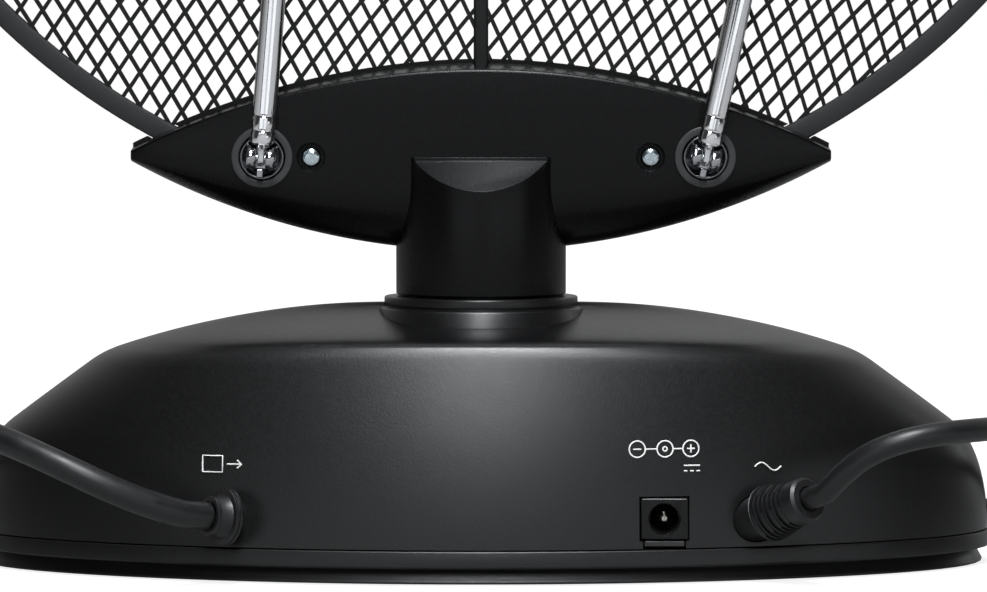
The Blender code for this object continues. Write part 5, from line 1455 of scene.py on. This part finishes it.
def tube_rows(radius, wall, length, next_radius, crimps=()):
    """A drawn tube from its foot up, with a rolled-in mouth where the next section leaves it."""
    edge_inset, edge_height = TUBE_FOOT_EDGE
    rows = [(radius - wall, 0), (radius - edge_inset, 0), (radius, edge_height)]
    side = crimped(radius, CRIMP_DEPTH * CRIMP_SIDE_SHARE)
    for height in crimps:
        rows += [
            (radius, height - CRIMP_HALF),
            (side, height - CRIMP_HALF / 2),
            (crimped(radius, CRIMP_DEPTH), height),
            (side, height + CRIMP_HALF / 2),
            (radius, height + CRIMP_HALF),
        ]
    lip = next_radius + MOUTH_PLAY
    rows += [(radius - inset, length - back) for inset, back in MOUTH_ROLL]
    rows += [(lip + out, length - back) for out, back in MOUTH_LIP]
    rows.append((radius - wall, length - MOUTH_DEPTH))
    return rows


def make_rod_sections(side, place):
    bodies = [f"{side}_rod", f"{side}_rod_2", f"{side}_rod_3", f"{side}_rod_4"]
    top = TUBE_START
    for i, (radius, length) in enumerate(zip(TUBE_RADII, TUBE_LENGTHS)):
        top = TUBE_START + length if i == 0 else top + TUBE_PULLED
        foot = place @ Matrix.Translation((0, 0, top - length))
        name = f"{side}_tube_{i + 1}"
        if i < len(TUBE_WALL):
            crimps = CRIMP_HEIGHTS if i == 0 else ()
            rows = tube_rows(radius, TUBE_WALL[i], length, TUBE_RADII[i + 1], crimps)
            section = revolve(name, rows, "chrome", foot, 96, closed=True)
        else:
            rows = rounded(solid_rows(radius, 0, length), SMALL_ROUND)
            section = revolve(name, rows, "chrome", foot, 32)
        settle(section, bodies[i], "chrome", f"{side}_rod_section_{i + 1}")
    rows = rounded(scaled(TIP_CROWN + TIP_FOOT, TIP_RADIUS, TIP_LENGTH), END_ROUND)
    tip = revolve(f"{side}_cap", rows, "chrome", place @ Matrix.Translation((0, 0, top + GAP)), 40)
    settle(tip, bodies[-1], "chrome", f"{side}_rod_tip")


def pin_room(name, y):
    return bar(name, PIN_RADIUS + PIN_PLAY, (-PIN_ROOM, y, 0), (PIN_ROOM, y, 0), steps=24)


def make_bowl(side):
    """The dished round foot of a fork, which turns in its socket."""
    inside = HEAD_REAR_Y + FORK_SINK
    reach = inside - FORK_FACE
    rows = [(0, -FORK_FLANGE), (FORK_FLANGE_RADIUS, -FORK_FLANGE), (FORK_FLANGE_RADIUS, 0)]
    rows += [(FORK_RADIUS, 0), (FORK_RADIUS, reach)]
    rim = FORK_RADIUS - FORK_RIM
    for t in np.linspace(0, math.pi / 2, 13)[:-1]:
        rows.append((rim * math.cos(t), reach - FORK_DISH * math.sin(t)))
    rows.append((0, reach - FORK_DISH))
    seat = aimed((0, inside, 0), (0, -1, 0))
    return revolve(f"{side}_bowl", rounded(rows, PIN_ROUND, count=3), "black_nickel", seat, 64)


def make_fork(side, swivel):
    """The bowl, and on it the yoke with its two ears."""
    bowl = make_bowl(side)
    foot = FORK_FACE + FORK_DISH + FORK_PROUD
    ends = [(ELBOW_Y - s, c) for c, s in half_round(EAR_RADIUS)]
    outline = [(foot, EAR_RADIUS), *ends, (foot, -EAR_RADIUS)]
    ears = []
    for hand in (-1, 1):
        faces = sorted((hand * EAR_INNER, hand * EAR_OUTER))
        ear = slab(f"{side}_ear_{hand}", outline, faces, "x", "dull_chrome")
        ears.append(soften(ear, EDGE_ROUND, 3))
    half = TONGUE_THICKNESS / 2
    rib_low = (-half, ELBOW_Y - TONGUE_RADIUS / 3, RIB_INSET - FORK_RADIUS)
    rib = soften(box_between(f"{side}_rib", rib_low, (half, foot, -TONGUE_RADIUS - 2 * GAP)), SMALL_ROUND)
    plate_low = (-EAR_OUTER, FORK_FACE + FORK_PLATE_SHARE * FORK_DISH, -EAR_RADIUS)
    plate = box_between(f"{side}_yoke_plate", plate_low, (EAR_OUTER, foot, EAR_RADIUS))
    fork = carve(ears[0], "UNION", ears[1], rib, plate)
    carve(fork, "DIFFERENCE", pin_room(f"{side}_pin_room", ELBOW_Y))
    for piece in (fork, bowl):
        piece.matrix_world = swivel @ piece.matrix_world
    settle(fork, f"{side}_fork", "chrome", f"{side}_fork")
    settle(bowl, f"{side}_fork")


def make_pin(side, elbow):
    half = EAR_OUTER - GAP / 3
    end = PIN_RADIUS * PIN_END_SHARE
    rows = [(0, -half), (end, -half), (PIN_RADIUS, PIN_CHAMFER - half)]
    rows += [(PIN_RADIUS, half - PIN_CHAMFER), (end, half), (0, half)]
    pin = revolve(f"{side}_rivet", rows, "zinc", elbow @ turn_to((1, 0, 0)), 24)
    settle(pin, f"{side}_fork", "zinc", f"{side}_pivot_pin")


def make_lug(side, elbow):
    """The tongue at the foot of the rod, with the plug that fills its tube."""
    half = TONGUE_THICKNESS / 2
    top = TUBE_START + TONGUE_LAP
    ends = [(c, -s) for c, s in half_round(TONGUE_RADIUS)]
    outline = [(TONGUE_RADIUS, top), *ends, (-TONGUE_RADIUS, top)]
    tongue = soften(slab(f"{side}_tongue", outline, (-half, half), "x", "chrome"), SMALL_ROUND)
    rows = solid_rows(LUG_PLUG_RADIUS, TUBE_START - GAP, TUBE_START + LUG_PLUG_LENGTH)
    carve(tongue, "UNION", revolve("lug_plug", rows, steps=32))
    carve(tongue, "DIFFERENCE", pin_room(f"{side}_lug_room", 0))
    tongue.matrix_world = elbow
    settle(tongue, f"{side}_rod", "chrome", f"{side}_rod_lug")


def make_rods():
    for side, x in PIVOT_X.items():
        swivel = Matrix.Translation((x, 0, PIVOT_Z)) @ Matrix.Rotation(ROD_LEAN[side], 4, "Y")
        elbow = swivel @ Matrix.Translation((0, ELBOW_Y, 0))
        make_fork(side, swivel)
        make_pin(side, elbow)
        make_lug(side, elbow)
        make_rod_sections(side, elbow)


# Leads

def smooth_route(points, spacing):
    """Points at an even spacing along a smooth curve through the route's own points."""
    knots = np.array([tuple(p) for p in points])
    ends = np.vstack([2 * knots[0] - knots[1], knots, 2 * knots[-1] - knots[-2]])
    fine = []
    for a, b, c, d in zip(ends, ends[1:], ends[2:], ends[3:]):
        for t in np.linspace(0, 1, ROUTE_STEPS, endpoint=False):
            square = (2 * a - 5 * b + 4 * c - d) * t**2
            cube = (3 * b - a - 3 * c + d) * t**3
            fine.append((2 * b + (c - a) * t + square + cube) / 2)
    return [Vector(p) for p in evenly([*fine, knots[-1]], spacing)]


def coil_turns(centre, start_angle, hand, inner, pitch, turns, low):
    """Loops that spiral in on the floor, climb a layer over half a turn, and spiral out."""
    turns_in, turns_out = turns
    points = []
    for i in range(round((turns_in + turns_out) * LOOP_POINTS) + 1):
        turn = i / LOOP_POINTS - turns_in
        radius = inner + pitch * abs(turn)
        angle = start_angle + hand * 2 * math.pi * i / LOOP_POINTS
        height = low + pitch * smoothstep(min(max(2 * (turn + 0.25), 0.0), 1.0))
        out = Vector((math.cos(angle), math.sin(angle), 0))
        points.append(centre + radius * out + Vector((0, 0, height)))
    return points


def eased_run(points):
    """The points with the bends between them evened out, and the two at each end kept."""
    for _ in range(LEAD_EASE_ROUNDS):
        inner = [(a + 2 * b + c) / 4 for a, b, c in zip(points[1:], points[2:], points[3:])]
        points = [*points[:2], *inner[:-1], *points[-2:]]
    return points


def cord_path(radius, exit_point, exit_axis, route, coil, tail, tail_height):
    """The whole centreline of a lead, and the place and direction of what is on its end."""
    diameter = 2 * radius
    first = (coil[1] - coil[0]).normalized()
    start = exit_point + exit_axis * GAP
    stop = coil[0] - first * (diameter + GAP)
    between = [start + exit_axis * diameter, *(Vector(p) for p in route), stop - first * diameter]
    lead = eased_run([start, *smooth_route(between, LEAD_SPACING * diameter), stop])
    last = (coil[-1] - coil[-2]).normalized()
    drop = tail_height - coil[-1].z
    tail_points = []
    for t in np.linspace(0.125, 1, 8):
        sink = Vector((0, 0, drop * smoothstep(t)))
        tail_points.append(coil[-1] + last * tail * t + sink)
    end = tail_points[-1] + last * diameter
    return [*lead, *coil, *tail_points, end], end + last * GAP, last


def make_cord(name, path, radius, nodes):
    cord = new_curve(name, radius, LEAD_RESOLUTION, [path], "pvc_black")
    cord.data.splines[0].use_smooth = True
    return settle(cord, "base", "pvc_black", *nodes)


def gland_neck_ends():
    """The middle of the tilted flange, and a place straight behind it inside the wall."""
    front = on_wall(GLAND_X, LEAD_Z) + GLAND_AXIS * (GLAND_FLANGE_START + GLAND_FLANGE_LENGTH / 2)
    back = on_wall(front.x, front.z) + Vector((0, GLAND_SINK, 0))
    return front, back


def make_gland():
    """A tilted collar with a double-ridged flange, square to the coaxial lead."""
    place = aimed(on_wall(GLAND_X, LEAD_Z), GLAND_AXIS)
    end = GLAND_END_RADIUS
    wide = GLAND_RADIUS
    low = GLAND_FLANGE_START
    high = low + GLAND_FLANGE_LENGTH
    middle = (low + high) / 2
    ridge = GLAND_RIDGE
    hole = COAX_RADIUS + LEAD_PLAY
    waist_inset, waist_drop = GLAND_WAIST
    rows = [
        (0, GLAND_LENGTH - GLAND_MOUTH),
        (hole, GLAND_LENGTH - GLAND_MOUTH),
        (hole, GLAND_LENGTH),
        (end, GLAND_LENGTH),
        (end, GLAND_LENGTH - GLAND_LIP),
        (end - waist_inset, GLAND_LENGTH - waist_drop),
        (end + GLAND_FLARE, high),
        (wide, high),
        (wide, middle + ridge / 2),
        (wide - ridge, middle + ridge / 2),
        (wide - ridge, middle - ridge / 2),
        (wide, middle - ridge / 2),
        (wide, low),
        (0, low),
    ]
    gland = revolve("lead_gland", rounded(rows, GLAND_ROUND, count=3), "pvc_black", place, 72)
    carve(gland, "UNION", bar("gland_neck", GLAND_NECK_RADIUS, *gland_neck_ends()))
    return settle(gland, "base", "pvc_black", "coax_gland")


def make_relief():
    """A tapered boot with a plain collar at its end, cut by thin slots that leave bridges on two sides."""
    core = RELIEF_END_RADIUS - RELIEF_SLOT_DEPTH
    ribbed = RELIEF_START + RELIEF_PLAIN
    collar = RELIEF_LENGTH * RELIEF_RIBBED_SHARE
    pitch = (collar - ribbed) / RELIEF_SLOTS

    def bridged(outer, turn):
        return lambda angle: outer if abs(math.cos(angle - turn)) > RELIEF_BRIDGE else core

    rows = [
        (0, -GLAND_SINK),
        (RELIEF_END_RADIUS, -GLAND_SINK),
        (RELIEF_END_RADIUS, RELIEF_START),
        (RELIEF_RADIUS - RELIEF_EDGE, RELIEF_START),
        (RELIEF_RADIUS, RELIEF_START + RELIEF_EDGE),
    ]
    for i in range(RELIEF_SLOTS):
        low = ribbed + i * pitch
        outer = RELIEF_RADIUS + (RELIEF_END_RADIUS - RELIEF_RADIUS) * (i + 0.5) / RELIEF_SLOTS
        slot = bridged(outer, (i % 2) * math.pi / 2 + RELIEF_TURN)
        rows.append((outer, low))
        for radius, share in zip((outer, slot, slot, outer), RELIEF_SLOT_SHARES):
            rows.append((radius, low + share * pitch))
    hole = MAINS_RADIUS + LEAD_PLAY
    mouth = RELIEF_LENGTH - RELIEF_MOUTH
    rows += [
        (RELIEF_END_RADIUS, collar),
        (RELIEF_END_RADIUS, mouth),
        (RELIEF_END_RADIUS - RELIEF_MOUTH, RELIEF_LENGTH),
        (hole, RELIEF_LENGTH),
        (hole, mouth),
        (0, mouth),
    ]
    relief = revolve("relief_boot", rows, "pvc_black", aimed(on_wall(RELIEF_X, LEAD_Z), RELIEF_AXIS), 96)
    return settle(relief, "base", "pvc_black", "mains_strain_relief")


def make_tie(name, node, centre, angle, inner, outer, top):
    """A flat band wrapped round the stacked turns."""
    low = inner - TIE_THICKNESS
    high = outer + TIE_THICKNESS
    half = TIE_WIDTH / 2
    ring = [(low, 0), (high, 0), (high, top + TIE_THICKNESS), (low, top + TIE_THICKNESS)]
    hole = [(inner, TIE_THICKNESS), (outer, TIE_THICKNESS), (outer, top), (inner, top)]
    band = slab(name, rounded(ring, TIE_ROUND, closed=True), (-half, half), "y", "rubber")
    hollow = rounded(hole, TIE_ROOM_ROUND, closed=True)
    room = slab(f"{name}_room", hollow, (-2 * half, 2 * half), "y")
    carve(band, "DIFFERENCE", room)
    band.matrix_world = Matrix.Translation(centre) @ Matrix.Rotation(angle, 4, "Z")
    return settle(band, "base", "rubber", node)


def lay_lead(name, nodes, radius, exit_point, exit_axis, route, coil, tail, tail_height):
    """A lead from its exit to a tied coil on the floor, and the place and direction of what is on its end."""
    centre, start_angle, hand, inner, turns = coil
    lead_node, coil_node, tie_name, tie_node = nodes
    pitch = 2 * radius + COIL_GAP
    low = radius + COIL_LIFT
    loops = coil_turns(centre, start_angle, hand, inner, pitch, turns, low)
    path, place, along = cord_path(radius, exit_point, exit_axis, route, loops, tail, tail_height)
    lead = make_cord(name, path, radius, (lead_node, coil_node))
    reach = radius + GAP
    tie_inner = inner + pitch / 2 - reach - GAP
    tie_outer = inner + pitch * (turns[0] - 0.5) + reach
    tie_angle = math.pi - start_angle
    tie = make_tie(tie_name, tie_node, centre, tie_angle, tie_inner, tie_outer, low + pitch + reach)
    return lead, tie, place, along


def make_coax():
    exit_point = on_wall(GLAND_X, LEAD_Z) + GLAND_AXIS * GLAND_LENGTH
    lead, tie, place, along = lay_lead(
        "coaxial_lead",
        ("coax_lead", "coax_coil", "coaxial_tie", "coax_tie"),
        COAX_RADIUS,
        exit_point,
        GLAND_AXIS,
        COAX_ROUTE,
        (COAX_COIL_CENTRE, math.pi, -1, COAX_COIL_INNER, COAX_TURNS),
        COAX_TAIL,
        COAX_PLUG_RADIUS,
    )
    on_end = make_coax_plug(aimed(place, along))
    make_gland()


def make_coax_plug(place):
    seat = COAX_PLUG_LENGTH - COAX_SLEEVE_SEAT
    room = COAX_SLEEVE_RADIUS + GAP
    wide = COAX_PLUG_RADIUS

    def knurled(angle):
        return wide - COAX_KNURL_DEPTH * (1 + math.cos(COAX_KNURLS * angle)) / 2

    rows = [
        (0, seat),
        (room, seat),
        (room, COAX_PLUG_LENGTH),
        (wide - COAX_PLUG_EDGE, COAX_PLUG_LENGTH),
        (wide, COAX_PLUG_LENGTH - COAX_PLUG_EDGE),
        (wide, COAX_PLUG_LENGTH - COAX_PLUG_BAND),
        (knurled, COAX_PLUG_LENGTH - COAX_KNURL_DROP),
        (knurled, COAX_KNURL_FOOT),
    ]
    rows += scaled(COAX_PLUG_TAIL, wide, 1)
    plug = settle(revolve("coaxial_plug", rows, "pvc_black", place, 192), "base", "pvc_black", "coax_plug")
    bore = COAX_SLEEVE_RADIUS - COAX_SLEEVE_WALL
    low = seat + GAP
    rows = ring_rows(COAX_SLEEVE_RADIUS, bore, low, low + COAX_SLEEVE_LENGTH)
    eased = rounded(rows, PIN_ROUND, closed=True)
    sleeve = revolve("coaxial_sleeve", eased, "nickel", place, 64, closed=True)
    settle(sleeve, "base", "zinc", "coax_plug_sleeve")
    foot = seat - COAX_SLEEVE_SEAT + GAP
    top = foot + COAX_PIN_LENGTH
    rows = [(0, foot), (COAX_PIN_RADIUS, foot), (COAX_PIN_RADIUS, top - COAX_PIN_POINT)]
    rows += [(COAX_PIN_RADIUS / 2, top), (0, top)]
    pin = revolve("coaxial_pin", rounded(rows, SMALL_ROUND), "brass", place, 32)
    settle(pin, "base", "brass", "coax_plug_pin")
    return plug, sleeve, pin


def make_mains():
    exit_point = on_wall(RELIEF_X, LEAD_Z) + RELIEF_AXIS * RELIEF_LENGTH
    lead, tie, place, along = lay_lead(
        "mains_flex",
        ("mains_lead", "mains_coil", "mains_flex_tie", "mains_tie"),
        MAINS_RADIUS,
        exit_point,
        RELIEF_AXIS,
        MAINS_ROUTE,
        (MAINS_COIL_CENTRE, 0.0, 1, MAINS_COIL_INNER, MAINS_TURNS),
        MAINS_TAIL,
        MAINS_PLUG_HALF_HEIGHT,
    )
    heading = Matrix.Rotation(math.atan2(along.y, along.x), 4, "Z")
    on_end = make_mains_plug(Matrix.Translation(place) @ heading)
    make_relief()


def make_mains_plug(place):
    flare_start, flare_end = MAINS_PLUG_STEPS
    half = MAINS_PLUG_HALF_HEIGHT
    outline = [
        (0, -MAINS_PLUG_NECK),
        (flare_start, -MAINS_PLUG_WAIST),
        (flare_end, -MAINS_PLUG_HALF_WIDTH),
        (MAINS_PLUG_LENGTH, -MAINS_PLUG_HALF_WIDTH),
    ]
    outline += [(x, -y) for x, y in reversed(outline)]
    eased = rounded(outline, MAINS_PLUG_ROUND, closed=True)
    body = soften(slab("mains_plug_body", eased, (-half, half), "z", "pvc_black"), MAINS_PLUG_EDGE, 4)
    ribs = []
    for i in range(PLUG_RIBS):
        x = flare_start + PLUG_RIB_START + i * PLUG_RIB_PITCH
        for top in (-1, 1):
            ends = (x, -PLUG_RIB_HALF, top * half), (x, PLUG_RIB_HALF, top * half)
            ribs.append(bar(f"plug_rib_{i}_{top}", PLUG_RIB_RADIUS, *ends, steps=16))
    carve(body, "DIFFERENCE", *ribs)
    body.matrix_world = place
    settle(body, "base", "pvc_black", "mains_plug")
    sleeve = MAINS_PIN_RADIUS * MAINS_PIN_SLEEVE_SHARE
    sleeve_end, bare_start = MAINS_PIN_SLEEVE
    point_share, point = MAINS_PIN_POINT
    rows = [
        (0, 0),
        (sleeve, 0),
        (sleeve, sleeve_end),
        (MAINS_PIN_RADIUS, bare_start),
        (MAINS_PIN_RADIUS, MAINS_PIN_LENGTH - point),
        (MAINS_PIN_RADIUS * point_share, MAINS_PIN_LENGTH),
        (0, MAINS_PIN_LENGTH),
    ]
    made = [body]
    for word, side in (("left", 1), ("right", -1)):
        seat = place @ aimed((MAINS_PLUG_LENGTH + GAP, side * MAINS_PIN_SPACING, 0), (1, 0, 0))
        pin = revolve(f"mains_prong_{word}", rounded(rows, SMALL_ROUND), "nickel", seat, 32)
        settle(pin, "base", "brass", f"mains_plug_pin_{word}")
        made.append(pin)
    return made


def main():
    make_materials()
    bpy.context.scene.view_settings.view_transform = "Standard"
    make_camera()
    make_coax()
    make_mains()
    make_world()
    make_floor()
    make_lights()
    make_housing()
    make_plate()
    make_feet()
    make_plate_screws()
    make_jack()
    make_knob()
    make_indicator()
    make_marks()
    make_head()
    make_rim()
    make_net()
    make_feed()
    make_rods()
    dress_hidden_nodes()


main()
